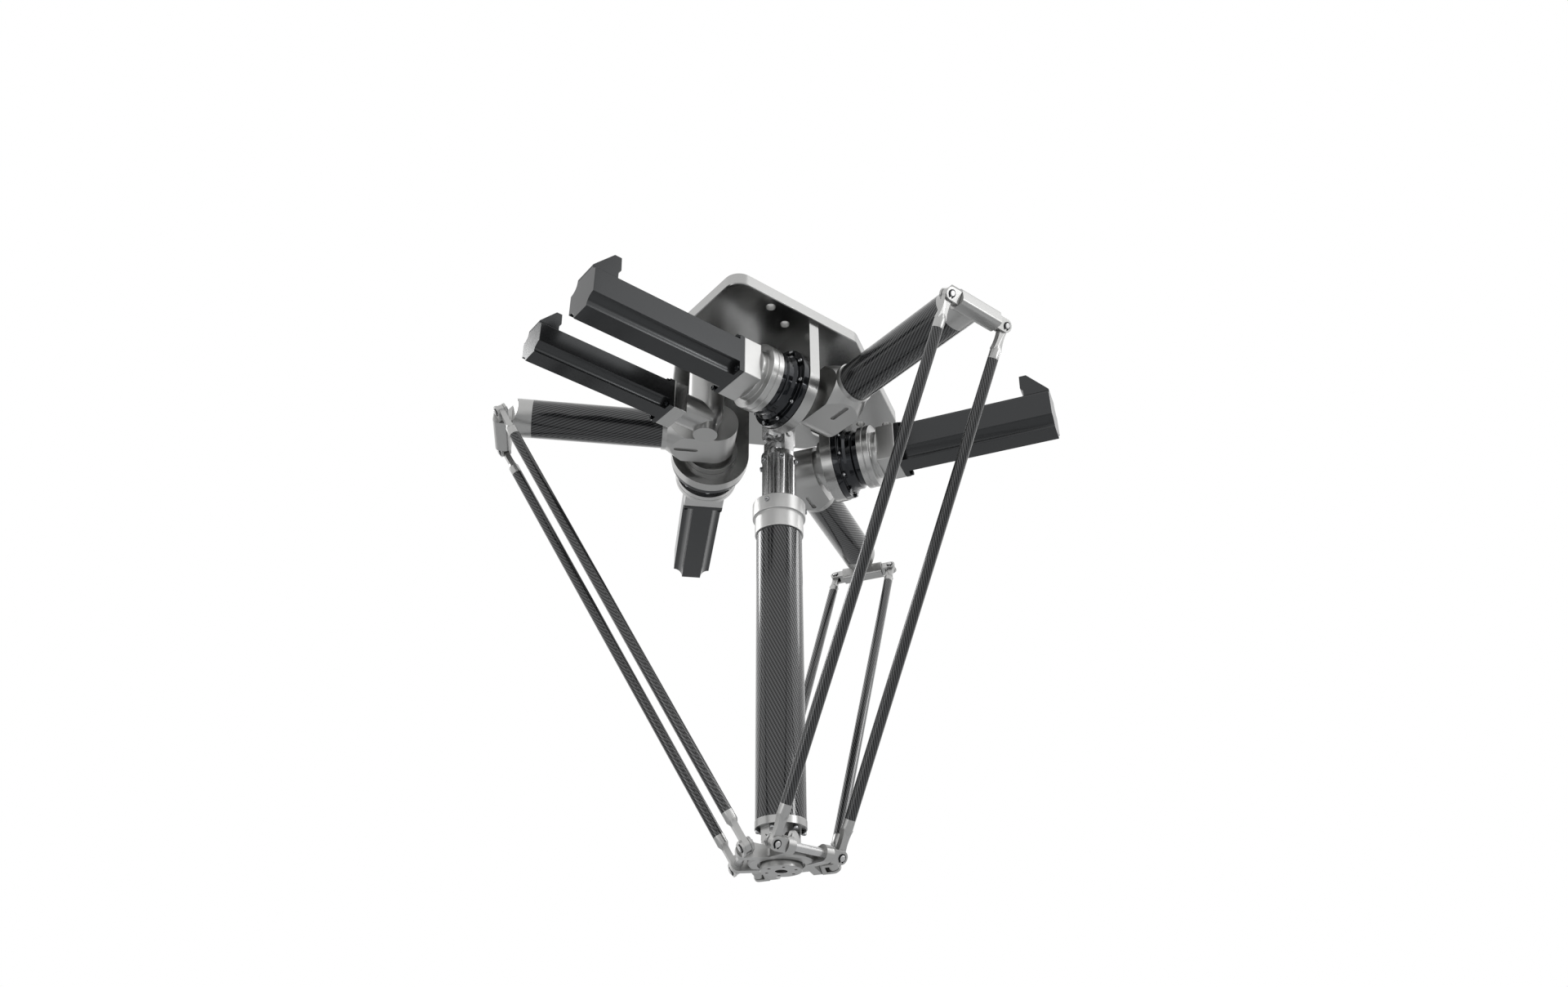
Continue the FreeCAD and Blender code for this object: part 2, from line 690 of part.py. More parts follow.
def rod_end():
    """Flat eye on a waisted neck that grows into a round ferrule and its spigot."""
    y, half = PIN_Y, EYE_HALF_THICK
    eye = cylinder(EYE_R, vec(-half, y, 0), vec(half, y, 0))
    shoulder, end = -ROD_END_LENGTH + FERRULE, -ROD_END_LENGTH
    ferrule_r, far = ROD_R + SLIDING_FIT, FERRULE_TAPER + FERRULE
    outline = [(0, 0), (0, half), (FERRULE_TAPER, ferrule_r), (far, ferrule_r), (far, 0)]
    ferrule = turned(outline, vec(0, y, shoulder + FERRULE_TAPER), -Z_AXIS)
    spigot_r = ROD_R - ROD_WALL - SLIDING_FIT
    spigot = cylinder(spigot_r, vec(0, y, end + 1), vec(0, y, end - ROD_SPIGOT))
    hole = cylinder(PIN_R + SLIDING_FIT, vec(-half - 1, y, 0), vec(half + 1, y, 0))
    return cut(fuse([eye, rod_neck(shoulder), ferrule, spigot]), [hole])


def rod_neck(shoulder):
    """Flat neck between the eye and the ferrule, waisted by an arc on each side."""
    y, half = PIN_Y, EYE_HALF_THICK
    waist = shoulder * NECK_SHARE
    arcs = []
    for side in (1, -1):
        points = [vec(-half, y + side * EYE_R, 0), vec(-half, y + side * NECK_HALF_WIDTH, waist),
                  vec(-half, y + side * ROD_R, shoulder)]
        arcs.append(Part.Arc(*points[::side]).toShape())
    foot = Part.makeLine(arcs[0].Vertexes[-1].Point, arcs[1].Vertexes[0].Point)
    head = Part.makeLine(arcs[1].Vertexes[-1].Point, arcs[0].Vertexes[0].Point)
    return Part.Face(Part.Wire([arcs[0], foot, arcs[1], head])).extrude(X_AXIS * 2 * half)


def rod_ends():
    upper = rod_end()
    lower = turn(upper, 180.0, vec(0, PIN_Y, -ROD_LENGTH / 2), Y_AXIS)
    return [upper, mirror_y(upper), lower, mirror_y(lower)]


def rod(side):
    top = vec(0, side * PIN_Y, -ROD_END_LENGTH)
    end = vec(0, side * PIN_Y, ROD_END_LENGTH - ROD_LENGTH)
    inner = ROD_R - ROD_WALL
    return cylinder(ROD_R, top, end).cut(cylinder(inner, top + Z_AXIS, end - Z_AXIS))


# Platform
def axle_boss(side):
    """Lug that holds one end of an axle."""
    outer = side * (CLEVIS_BASE - SEAT_GAP)
    inner = outer - side * BOSS_LENGTH
    low, high = min(outer, inner), max(outer, inner)
    ends = [vec(PLATFORM_RADIUS, y, PLATFORM_Z) for y in (low, high)]
    boss = cylinder(BOSS_R, *ends)
    foot = PLATFORM_Z - DISC_BOTTOM
    arm = [vec(BOSS_ROOT, low, foot), vec(PLATFORM_RADIUS, low, PLATFORM_Z - BOSS_R),
           vec(PLATFORM_RADIUS, low, PLATFORM_Z + BOSS_R), vec(BOSS_ROOT, low, PLATFORM_Z + DISC_TOP)]
    return fuse([boss, prism(arm, Y_AXIS * (high - low))])


def platform():
    """Three-armed body with six axle bosses round the bearing of the tool spindle."""
    crown = DISC_TOP + CROWN_HEIGHT
    outline = [(-DISC_BOTTOM, 0), (-DISC_BOTTOM, HUB_DISC_R - DISC_FOOT_EDGE),
               (DISC_FOOT_EDGE - DISC_BOTTOM, HUB_DISC_R), (DISC_TOP - DISC_TOP_EDGE, HUB_DISC_R),
               (DISC_TOP, HUB_DISC_R - DISC_TOP_EDGE), (DISC_TOP, CROWN_R),
               (crown, CROWN_R - CROWN_SLOPE), (crown, 0)]
    centre = vec(0, 0, PLATFORM_Z)
    body = turned(outline, centre, Z_AXIS)
    bosses = [for_arm(axle_boss(side), index) for index in range(ARMS) for side in (-1, 1)]
    body = fuse([body] + bosses)
    deep = Z_AXIS * 2 * DISC_BOTTOM
    tools = [cylinder(TOOL_BEARING_R + RUNNING_FIT, centre - deep, centre + deep)]
    recess = centre - Z_AXIS * DISC_BOTTOM
    tools.append(cylinder(RECESS_R, recess - Z_AXIS, recess + Z_AXIS * RECESS_DEPTH))
    half = CLEVIS_BASE
    axle = cylinder(AXLE_R + SLIDING_FIT, vec(PLATFORM_RADIUS, -half, PLATFORM_Z),
                    vec(PLATFORM_RADIUS, half, PLATFORM_Z))
    tools += [for_arm(axle, index) for index in range(ARMS)]
    return cut(body, tools)


def axles():
    half = CLEVIS_BASE - SEAT_GAP
    ends = [vec(PLATFORM_RADIUS, y, PLATFORM_Z) for y in (-half, half)]
    axle = cylinder(AXLE_R, *ends)
    return [for_arm(axle, index) for index in range(ARMS)]


# Central shaft
def down(distance):
    """Point on the central axis, measured down from the shoulder axes."""
    return vec(0, 0, SHOULDER_Z - distance)


def spindle_housing():
    top = vec(0, 0, -PLATE_THICK)
    flange = cylinder(HOUSING_FLANGE_R, top - Z_AXIS * HOUSING_FLANGE, top)
    barrel = cylinder(HOUSING_R, down(HOUSING_BOTTOM), top)
    bore = cylinder(SPINDLE_R + RUNNING_FIT, down(HOUSING_BOTTOM) - Z_AXIS, top + Z_AXIS)
    return cut(fuse([flange, barrel]), [bore])


def yoke_ears(root, cross, axis):
    """Two ears from a root plane to a cross, with the cross's pins along axis."""
    away = (cross - root) * (1 / (cross - root).Length)
    side = away.cross(axis)
    ears = []
    for sign in (-1, 1):
        inner = cross + axis * sign * (YOKE_SPREAD - YOKE_EAR_THICK / 2)
        outer = inner + axis * sign * YOKE_EAR_THICK
        eye = cylinder(YOKE_EAR_R, inner, outer)
        base = inner - away * (cross - root).Length
        corners = [inner - side * YOKE_EAR_R, inner + side * YOKE_EAR_R,
                   base + side * YOKE_EAR_R, base - side * YOKE_EAR_R]
        ears += [eye, prism(corners, axis * sign * YOKE_EAR_THICK)]
    return ears


def yoke(root, thick, radius, cross, axis):
    """Round foot with two drilled ears."""
    away = (cross - root) * (1 / (cross - root).Length)
    foot = cylinder(radius, root - away * thick, root)
    reach = YOKE_SPREAD + YOKE_EAR_THICK
    hole = cylinder(CROSS_PIN_R + SLIDING_FIT, cross - axis * reach, cross + axis * reach)
    return cut(fuse([foot] + yoke_ears(root, cross, axis)), [hole])


def cross_piece(centre):
    reach = YOKE_SPREAD + YOKE_EAR_THICK / 2 + CROSS_PIN_PROUD
    half = CROSS_BLOCK
    block = box((centre.x - half, centre.x + half), (centre.y - half, centre.y + half),
                (centre.z - half, centre.z + half))
    pins = [cylinder(CROSS_PIN_R, centre - axis * reach, centre + axis * reach)
            for axis in (X_AXIS, Y_AXIS)]
    return fuse([block] + pins)


def upper_joint():
    """Universal joint under the spindle: top yoke with its shaft, cross and lower yoke."""
    cross = down(UPPER_CROSS)
    top = yoke(down(YOKE_TOP), HEAD_THICK, YOKE_SPREAD + YOKE_EAR_THICK / 2, cross, Y_AXIS)
    shaft = cylinder(SPINDLE_R, down(YOKE_TOP), vec(0, 0, -PLATE_THICK))
    low = yoke(down(HEAD_TOP), HEAD_THICK, GUIDE_CIRCLE + GUIDE_R, cross, X_AXIS)
    return [fuse([top, shaft]), cross_piece(cross), low]


def guide_rods():
    start = down(HEAD_TOP + HEAD_THICK) + X_AXIS * GUIDE_CIRCLE
    rod_piece = cylinder(GUIDE_R, start, down(GUIDE_END) + X_AXIS * GUIDE_CIRCLE)
    foot = GUIDE_CIRCLE + GUIDE_R - SET_SCREW_SUNK
    spot = down(HEAD_TOP + HEAD_THICK + SET_SCREW_DROP) + X_AXIS * foot
    screw = socket_screw(SET_SCREW_R, SET_SCREW_PROUD + SET_SCREW_SUNK, spot, X_AXIS)
    return ring_of(rod_piece.fuse(screw), GUIDE_RODS, vec(0, 0, 0), Z_AXIS, GUIDE_START_ANGLE)


def collar():
    """Two-step collar that slides on the guide rods and holds the shaft tube."""
    outline = [(-COLLAR_BOTTOM, 0), (-COLLAR_BOTTOM, COLLAR_LOW_R), (-COLLAR_STEP, COLLAR_LOW_R),
               (-COLLAR_STEP, COLLAR_R), (-COLLAR_TOP - COLLAR_EDGE, COLLAR_R),
               (-COLLAR_TOP, COLLAR_R - COLLAR_EDGE),
               (-COLLAR_TOP, 0)]
    body = turned(outline, down(0), Z_AXIS)
    bore = cylinder(GUIDE_R + RUNNING_FIT, down(COLLAR_TOP - 1) + X_AXIS * GUIDE_CIRCLE,
                    down(COLLAR_BOTTOM + 1) + X_AXIS * GUIDE_CIRCLE)
    tools = ring_of(bore, GUIDE_RODS, vec(0, 0, 0), Z_AXIS, GUIDE_START_ANGLE)
    mouth = down(COLLAR_BOTTOM + 1)
    tools.append(cylinder(SHAFT_TUBE_R + SLIDING_FIT, mouth, down(COLLAR_BOTTOM - TUBE_SEAT)))
    hollow = SHAFT_TUBE_R - SHAFT_TUBE_WALL
    tools.append(cylinder(hollow, mouth, down(COLLAR_TOP + COLLAR_DECK)))
    spot = down((COLLAR_TOP + COLLAR_STEP) / 2) + X_AXIS * (COLLAR_R - SET_SCREW_SUNK)
    screw = socket_screw(SET_SCREW_R, SET_SCREW_PROUD, spot, X_AXIS)
    return fuse([cut(body, tools)] + ring_of(screw, ARMS, vec(0, 0, 0), Z_AXIS))


def shaft_tube():
    top, end = down(COLLAR_BOTTOM - TUBE_SEAT), down(END_RING_TOP)
    inner = SHAFT_TUBE_R - SHAFT_TUBE_WALL
    return cylinder(SHAFT_TUBE_R, top, end).cut(cylinder(inner, top + Z_AXIS, end - Z_AXIS))


def end_ring():
    """Ring that closes the tube, with the upper yoke of the lower joint below it."""
    top, end = down(END_RING_TOP), down(END_RING_BOTTOM)
    ring = cylinder(END_RING_R, end, top)
    spigot_r = SHAFT_TUBE_R - SHAFT_TUBE_WALL - SLIDING_FIT
    spigot = cylinder(spigot_r, top, top + Z_AXIS * END_RING_SPIGOT)
    cross = lower_cross()
    ears = yoke_ears(end, cross, Y_AXIS)
    reach = YOKE_SPREAD + YOKE_EAR_THICK
    hole = cylinder(CROSS_PIN_R + SLIDING_FIT, cross - Y_AXIS * reach, cross + Y_AXIS * reach)
    return cut(fuse([ring, spigot] + ears), [hole])


def end_screws():
    seat = down(END_RING_BOTTOM) + X_AXIS * END_SCREW_CIRCLE
    screw = socket_screw(END_SCREW_R, END_SCREW_HEAD, seat, -Z_AXIS)
    return ring_of(screw, END_SCREWS, vec(0, 0, 0), Z_AXIS)


def lower_cross():
    return vec(0, 0, PLATFORM_Z + LOWER_CROSS_RISE)


def tool_flange():
    """Tool flange and spindle in the platform's bearing, with the joint's lower yoke."""
    face = vec(0, 0, PLATFORM_Z - DISC_BOTTOM + RECESS_DEPTH - SEAT_GAP)
    end = face - Z_AXIS * TOOL_THICK
    rim = TOOL_R - TOOL_EDGE
    flange = turned([(0, 0), (0, rim), (TOOL_EDGE, TOOL_R), (TOOL_THICK - TOOL_EDGE, TOOL_R),
                     (TOOL_THICK, rim), (TOOL_THICK, 0)], face, -Z_AXIS)
    deck = vec(0, 0, PLATFORM_Z + DISC_TOP + CROWN_HEIGHT + SEAT_GAP + LOW_FOOT_THICK)
    spindle = cylinder(TOOL_BEARING_R, face, deck)
    joint = yoke(deck, LOW_FOOT_THICK, YOKE_SPREAD + YOKE_EAR_THICK / 2, lower_cross(), X_AXIS)
    bore = cylinder(TOOL_BORE_R, end - Z_AXIS, deck - Z_AXIS * 2 * LOW_FOOT_THICK)
    hole = cylinder(TOOL_HOLE_R, end - Z_AXIS + X_AXIS * TOOL_HOLE_CIRCLE,
                    end + Z_AXIS * TOOL_HOLE_DEPTH + X_AXIS * TOOL_HOLE_CIRCLE)
    holes = ring_of(hole, TOOL_HOLES, vec(0, 0, 0), Z_AXIS, TOOL_HOLE_START_ANGLE)
    return cut(fuse([flange, spindle, joint]), [bore] + holes)


def build():
    os.makedirs("parts", exist_ok=True)
    save("base_plate", [base_plate()])
    save_for_arms("bracket", [bracket()])
    save("bracket_screws", bracket_screws())
    save_for_arms("gearbox", [gearbox()])
    save("flange_screws", flange_screws())
    save_for_arms("input_ring", [input_ring()])
    face = on_shoulder(MOTOR_START)
    save_for_arms("motor", [motor_body(MOTOR_SIDE, face, MOTOR_LENGTH)])
    save_for_arms("motor_cover", [motor_cover(MOTOR_SIDE, face, MOTOR_LENGTH)])
    screws = [for_arm(s, index) for index in range(ARMS) for s in motor_screws(MOTOR_SIDE, face)]
    save("motor_screws", screws + motor_screws(TURN_SIDE, turn_face()))
    save("turn_gearbox", [turn_gearbox()])
    save("turn_adapter", [turn_adapter()])
    save("turn_motor", [motor_body(TURN_SIDE, turn_face(), TURN_MOTOR_LENGTH)])
    save("turn_motor_cover", [motor_cover(TURN_SIDE, turn_face(), TURN_MOTOR_LENGTH)])
    save("spindle_housing", [spindle_housing()])
    save_for_arms("arm_hub", [arm_hub()])
    save_for_arms("arm_tube", [arm_tube()])
    save_for_arms("elbow_cap", [elbow_cap()])
    save_for_arms("cross_bar", [lean(cross_bar())])
    save_for_arms("low_clevises", [lean(piece) for piece in low_clevises()])
    save_for_arms("joint_pins", [lean(piece) for piece in joint_pins()])
    save_for_arms("rod_ends", [lean(piece) for piece in rod_ends()])
    save_for_arms("rod_left", [lean(rod(1))])
    save_for_arms("rod_right", [lean(rod(-1))])
    save("platform", [platform()])
    save("axles", axles())
    save("upper_joint", upper_joint())
    save("guide_rods", guide_rods())
    save("collar", [collar()])
    save("shaft_tube", [shaft_tube()])
    save("end_ring", [end_ring()])
    save("end_screws", end_screws())
    save("tool_flange", [tool_flange(), cross_piece(lower_cross())])


build()
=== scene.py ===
import bmesh
import bpy
import json
import math
from mathutils import Matrix, Vector

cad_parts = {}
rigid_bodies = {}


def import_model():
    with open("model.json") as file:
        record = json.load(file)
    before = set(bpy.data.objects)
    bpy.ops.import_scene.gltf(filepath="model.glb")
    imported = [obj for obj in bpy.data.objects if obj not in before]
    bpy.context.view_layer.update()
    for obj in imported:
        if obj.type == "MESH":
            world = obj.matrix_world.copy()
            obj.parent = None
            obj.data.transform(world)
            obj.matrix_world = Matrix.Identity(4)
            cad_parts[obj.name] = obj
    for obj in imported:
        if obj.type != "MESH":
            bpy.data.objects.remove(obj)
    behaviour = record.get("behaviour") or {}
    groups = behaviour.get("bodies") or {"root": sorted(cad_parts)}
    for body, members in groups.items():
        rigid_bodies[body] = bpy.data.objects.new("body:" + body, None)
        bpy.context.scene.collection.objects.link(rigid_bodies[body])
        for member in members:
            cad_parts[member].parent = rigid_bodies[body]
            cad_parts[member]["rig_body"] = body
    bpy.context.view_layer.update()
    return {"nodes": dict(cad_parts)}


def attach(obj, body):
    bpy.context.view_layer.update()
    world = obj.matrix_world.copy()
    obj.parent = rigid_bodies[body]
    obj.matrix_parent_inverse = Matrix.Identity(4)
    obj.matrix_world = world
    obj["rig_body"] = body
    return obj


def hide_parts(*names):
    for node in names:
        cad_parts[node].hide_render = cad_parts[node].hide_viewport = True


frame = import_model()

# Base plate. One slab of aluminium, sawn, face-milled and clear anodised, with rounded
# corners, a broken rim and clear holes. It hangs the whole robot from its top face.
MM = 0.001
PLATE_THICK = 25 * MM
WELD = 0.01 * MM
FLAT = math.radians(0.3)
SHARP = math.radians(28)
EDGE_BREAK = 0.5 * MM
MILLED = "B2B2B1"
MILLED_SHADE = "A4A4A3"
MILL_PITCH = 1.2 * MM
CLOUD = 60 * MM
CLOUD_SHARE = 0.3


def linear(code):
    """Linear colour of an sRGB hex code."""
    parts = [int(code[k:k + 2], 16) / 255 for k in (0, 2, 4)]
    return [c / 12.92 if c <= 0.04045 else ((c + 0.055) / 1.055) ** 2.4 for c in parts] + [1.0]


def add_node(tree, kind, sockets=None, **settings):
    """One node with its settings, and its sockets given values or linked to others."""
    node = tree.nodes.new(kind)
    for key, value in settings.items():
        setattr(node, key, value)
    for key, value in (sockets or {}).items():
        if isinstance(value, bpy.types.NodeSocket):
            tree.links.new(value, node.inputs[key])
        else:
            node.inputs[key].default_value = value
    return node


def new_finish(name):
    """Empty material, ready for its nodes."""
    finish = bpy.data.materials.new(name)
    finish.use_nodes = True
    finish.node_tree.nodes.clear()
    return finish, finish.node_tree


def close_finish(tree, shader):
    """Ends a material's nodes in its shader."""
    add_node(tree, "ShaderNodeOutputMaterial", {"Surface": shader.outputs["BSDF"]})


def metal_finish(name, bright, shade, rough, spread, pitch, relief, lay=(1, 1, 1), metallic=1.0,
                 coat=0.0):
    """Metal with fine marks, pitch apart, that stand lay times as close along each axis.
    The marks are drawn coarser than real ones, which wouldn't show at the robot's size."""
    finish, tree = new_finish(name)
    place = add_node(tree, "ShaderNodeTexCoord").outputs["Object"]
    marks = add_node(tree, "ShaderNodeMapping", {
        "Vector": place, "Scale": [share / pitch for share in lay]})
    grain = add_node(tree, "ShaderNodeTexNoise", {
        "Vector": marks.outputs[0], "Scale": 1.0, "Detail": 2.0, "Roughness": 0.5})
    cloud = add_node(tree, "ShaderNodeTexNoise", {
        "Vector": place, "Scale": 1 / CLOUD, "Detail": 1.0})
    worn = add_node(tree, "ShaderNodeMath", {
        0: cloud.outputs["Fac"], 1: CLOUD_SHARE, 2: grain.outputs["Fac"]},
        operation="MULTIPLY_ADD")
    level = add_node(tree, "ShaderNodeMapRange", {
        "Value": worn.outputs[0], "From Min": 0.4, "From Max": 0.9,
        "To Min": rough - spread, "To Max": rough + spread})
    tint = add_node(tree, "ShaderNodeMix", {
        "Factor": grain.outputs["Fac"], "A": linear(bright), "B": linear(shade)},
        data_type="RGBA")
    bump = add_node(tree, "ShaderNodeBump", {
        "Height": grain.outputs["Fac"], "Strength": 0.5, "Distance": relief})
    shader = add_node(tree, "ShaderNodeBsdfPrincipled", {
        "Base Color": tint.outputs["Result"], "Roughness": level.outputs[0],
        "Metallic": metallic, "Coat Weight": coat, "Normal": bump.outputs[0]})
    close_finish(tree, shader)
    return finish


def stand_in(name, mesh, finish, body, nodes):
    """Piece in one finish that rides on its body and stands for the drawn parts."""
    piece = bpy.data.objects.new(name, mesh)
    bpy.context.scene.collection.objects.link(piece)
    mesh.materials.clear()
    mesh.materials.append(finish)
    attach(piece, body)
    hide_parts(*nodes)
    return piece


def dressed(name, node, finish, edge=EDGE_BREAK):
    """Welded copy of a drawn part with its edges broken, standing for that part."""
    drawn = frame["nodes"][node]
    mesh = drawn.data.copy()
    mesh.name = name
    mesh.attributes.remove(mesh.attributes["custom_normal"])
    work = bmesh.new()
    work.from_mesh(mesh)
    bmesh.ops.remove_doubles(work, verts=work.verts, dist=WELD)
    bmesh.ops.dissolve_limit(work, angle_limit=FLAT, verts=work.verts, edges=work.edges)
    for part in list(work.faces) + list(work.edges):
        part.smooth = True
    work.to_mesh(mesh)
    work.free()
    piece = stand_in(name, mesh, finish, drawn["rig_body"], [node])
    soften = piece.modifiers.new("edge break", "BEVEL")
    soften.width = edge
    soften.segments = 2
    soften.limit_method = "ANGLE"
    soften.angle_limit = SHARP
    soften.harden_normals = True


# Milled and anodised: pale, even metal with very fine straight tool marks.
milled = metal_finish("milled clear anodised aluminium", MILLED, MILLED_SHADE, rough=0.24,
                      spread=0.03, pitch=MILL_PITCH, relief=0.004 * MM, lay=(0.15, 1, 1))
dressed("plate", "base_plate", milled, edge=0.4 * MM)

# Drive brackets. Each is a milled aluminium upright, round below, with a rib on the
# arm's side, screwed up into the plate from the counterbores in its top face.
BRACKET_EDGE = 1.2 * MM
for arm in (1, 2, 3):
    dressed("bracket_upright_%d" % arm, "bracket_%d" % arm, milled,
            edge=BRACKET_EDGE)

# Bracket screws. Black-oxidised cap screws with hexagon sockets, six in all, sunk in
# the plate's counterbores.
SHOULDER = Vector((127.5, 0, -141)) * MM
BRACKET_MIDDLE = -77 * MM
BRACKET_SCREW_X = 48 * MM
BRACKET_HEAD = (6.5 * MM, 8 * MM)
BRACKET_SHANK = 55 * MM
SCREW_STEPS = 24
CHAMFER_SHARE = 0.12
SOCKET_SHARE = 0.52
SOCKET_DEPTH_SHARE = 0.55
SHANK_SHARE = 0.6
BEARINGS = {1: 0, 2: -120, 3: 120}
SCREW_BLACK = "1D1E20"
SCREW_SHADE = "2B2D2F"


def new_tree(name, inputs):
    """Geometry node tree that gives out one piece, and its named inputs."""
    tree = bpy.data.node_groups.new(name, "GeometryNodeTree")
    for label, kind in inputs:
        tree.interface.new_socket(label, in_out="INPUT", socket_type=kind)
    tree.interface.new_socket("Piece", in_out="OUTPUT", socket_type="NodeSocketGeometry")
    return tree, add_node(tree, "NodeGroupInput").outputs


def close_tree(tree, geometry, finish):
    """Ends a tree in one real mesh with its material."""
    real = add_node(tree, "GeometryNodeRealizeInstances", {"Geometry": geometry})
    painted = add_node(tree, "GeometryNodeSetMaterial", {
        "Geometry": real.outputs[0], "Material": finish})
    add_node(tree, "NodeGroupOutput", {0: painted.outputs[0]})


def ring_tree():
    """Copies of a piece on a ring about Z, each turned to face outwards."""
    tree, given = new_tree("copies on a ring", (
        ("Piece", "NodeSocketGeometry"), ("Count", "NodeSocketInt"),
        ("Ring Radius", "NodeSocketFloat"), ("Start", "NodeSocketFloat"),
        ("Finish", "NodeSocketMaterial")))
    index = add_node(tree, "GeometryNodeInputIndex").outputs[0]
    share = add_node(tree, "ShaderNodeMath", {0: index, 1: given["Count"]}, operation="DIVIDE")
    angle = add_node(tree, "ShaderNodeMath", {
        0: share.outputs[0], 1: 2 * math.pi, 2: given["Start"]}, operation="MULTIPLY_ADD")
    turns = add_node(tree, "ShaderNodeCombineXYZ", {"Z": angle.outputs[0]})
    spots = add_node(tree, "GeometryNodeMeshLine", {
        "Count": given["Count"], "Offset": (0, 0, 0)})
    reach = add_node(tree, "ShaderNodeCombineXYZ", {"X": given["Ring Radius"]})
    out = add_node(tree, "ShaderNodeVectorRotate", {
        "Vector": reach.outputs[0], "Angle": angle.outputs[0]}, rotation_type="Z_AXIS")
    placed = add_node(tree, "GeometryNodeSetPosition", {
        "Geometry": spots.outputs[0], "Position": out.outputs[0]})
    copies = add_node(tree, "GeometryNodeInstanceOnPoints", {
        "Points": placed.outputs[0], "Instance": given["Piece"], "Rotation": turns.outputs[0]})
    close_tree(tree, copies.outputs[0], given["Finish"])
    return tree


def through_tree(mesh, tree, values):
    """Mesh that a node tree makes of a mesh, with the tree's named inputs set."""
    holder = bpy.data.objects.new("holder", mesh)
    bpy.context.scene.collection.objects.link(holder)
    modifier = holder.modifiers.new("tree", "NODES")
    modifier.node_group = tree
    for item in tree.interface.items_tree:
        if item.in_out == "INPUT" and item.name in values:
            modifier[item.identifier] = values[item.name]
    holder.data.update()
    graph = bpy.context.evaluated_depsgraph_get()
    result = bpy.data.meshes.new_from_object(holder.evaluated_get(graph))
    bpy.data.objects.remove(holder)
    return result


def joined(name, meshes):
    """One mesh from several closed shells."""
    work = bmesh.new()
    for mesh in meshes:
        work.from_mesh(mesh)
    whole = bpy.data.meshes.new(name)
    work.to_mesh(whole)
    work.free()
    return whole


def moved(mesh, matrix):
    """Copy of a mesh at another place."""
    copy = mesh.copy()
    copy.transform(matrix)
    return copy


def facing(origin, axis):
    """Place at origin with Z along axis."""
    turn = Vector((0, 0, 1)).rotation_difference(Vector(axis))
    return Matrix.Translation(origin) @ turn.to_matrix().to_4x4()


def show(name, mesh, finish, body, nodes, arm=1):
    """Piece built on arm 1 and turned to its own arm, faced outwards and shaded smooth."""
    mesh = moved(mesh, Matrix.Rotation(math.radians(BEARINGS[arm]), 4, "Z"))
    work = bmesh.new()
    work.from_mesh(mesh)
    bmesh.ops.recalc_face_normals(work, faces=work.faces)
    for face in work.faces:
        face.smooth = True
    work.to_mesh(mesh)
    work.free()
    piece = stand_in(name, mesh, finish, body, nodes)
    level = piece.modifiers.new("even shading", "WEIGHTED_NORMAL")
    level.keep_sharp = True


def socket_screw(radius, head, shank=0.0):
    """Cap screw standing on z = 0, with a chamfered head and a hexagon socket."""
    chamfer, floor_height = CHAMFER_SHARE * radius, head - SOCKET_DEPTH_SHARE * head
    corner = math.pi / 6
    angles = [2 * math.pi * k / SCREW_STEPS for k in range(SCREW_STEPS)]
    work = bmesh.new()
    profile = [(radius, 0), (radius, head - chamfer), (radius - chamfer, head)]
    rings = [[work.verts.new((r * math.cos(a), r * math.sin(a), z)) for a in angles]
             for r, z in profile]
    for z in (head, floor_height):
        wall = []
        for a in angles:
            across = SOCKET_SHARE * radius * math.cos(corner) / math.cos(a % (2 * corner) - corner)
            wall.append(work.verts.new((across * math.cos(a), across * math.sin(a), z)))
        rings.append(wall)
    for low, high in zip(rings, rings[1:]):
        for k in range(SCREW_STEPS):
            work.faces.new((low[k], low[k - 1], high[k - 1], high[k]))
    work.faces.new(rings[0])
    work.faces.new(reversed(rings[-1]))
    if shank:
        top, tip = [[work.verts.new((SHANK_SHARE * v.co.x, SHANK_SHARE * v.co.y, z))
                     for v in rings[0]] for z in (0, -shank)]
        for k in range(SCREW_STEPS):
            work.faces.new((top[k], top[k - 1], tip[k - 1], tip[k]))
        for ring in (top, tip):
            work.faces.new(ring)
    mesh = bpy.data.meshes.new("screw")
    work.to_mesh(mesh)
    work.free()
    return mesh


ring_of = ring_tree()
# Black oxide on steel: nearly black, lightly oily, with a soft sheen.
black_oxide = metal_finish("black-oxidised steel", SCREW_BLACK, SCREW_SHADE, rough=0.32,
                           spread=0.08, pitch=0.5 * MM, relief=0.01 * MM)
screw = socket_screw(*BRACKET_HEAD, shank=BRACKET_SHANK)
spots = [Matrix.Translation((SHOULDER.x + side * BRACKET_SCREW_X, BRACKET_MIDDLE,
                             -BRACKET_HEAD[1])) for side in (-1, 1)]
pair = joined("bracket screws", [moved(screw, spot) for spot in spots])
screws = through_tree(pair, ring_of, {"Count": 3, "Finish": black_oxide})
show("bracket_cap_screws", screws, black_oxide, "base", ["bracket_screws"])

# Shoulder gearboxes. Each is a turned steel housing, blued black and polished, with a
# round flange against the bracket and steps with rounded edges down to its waist.
BRACKET_BACK = 88 * MM
GEAR_PROFILE = ((0, -20), (46, -20), (46, 0), (75, 0), (75, 12), (64.5, 12), (64.5, 20),
                (60, 25), (60, 34.5), (56, 37.5), (56, 48), (0, 48))
GEAR_BLACK = "15171A"
GEAR_SHADE = "22252A"


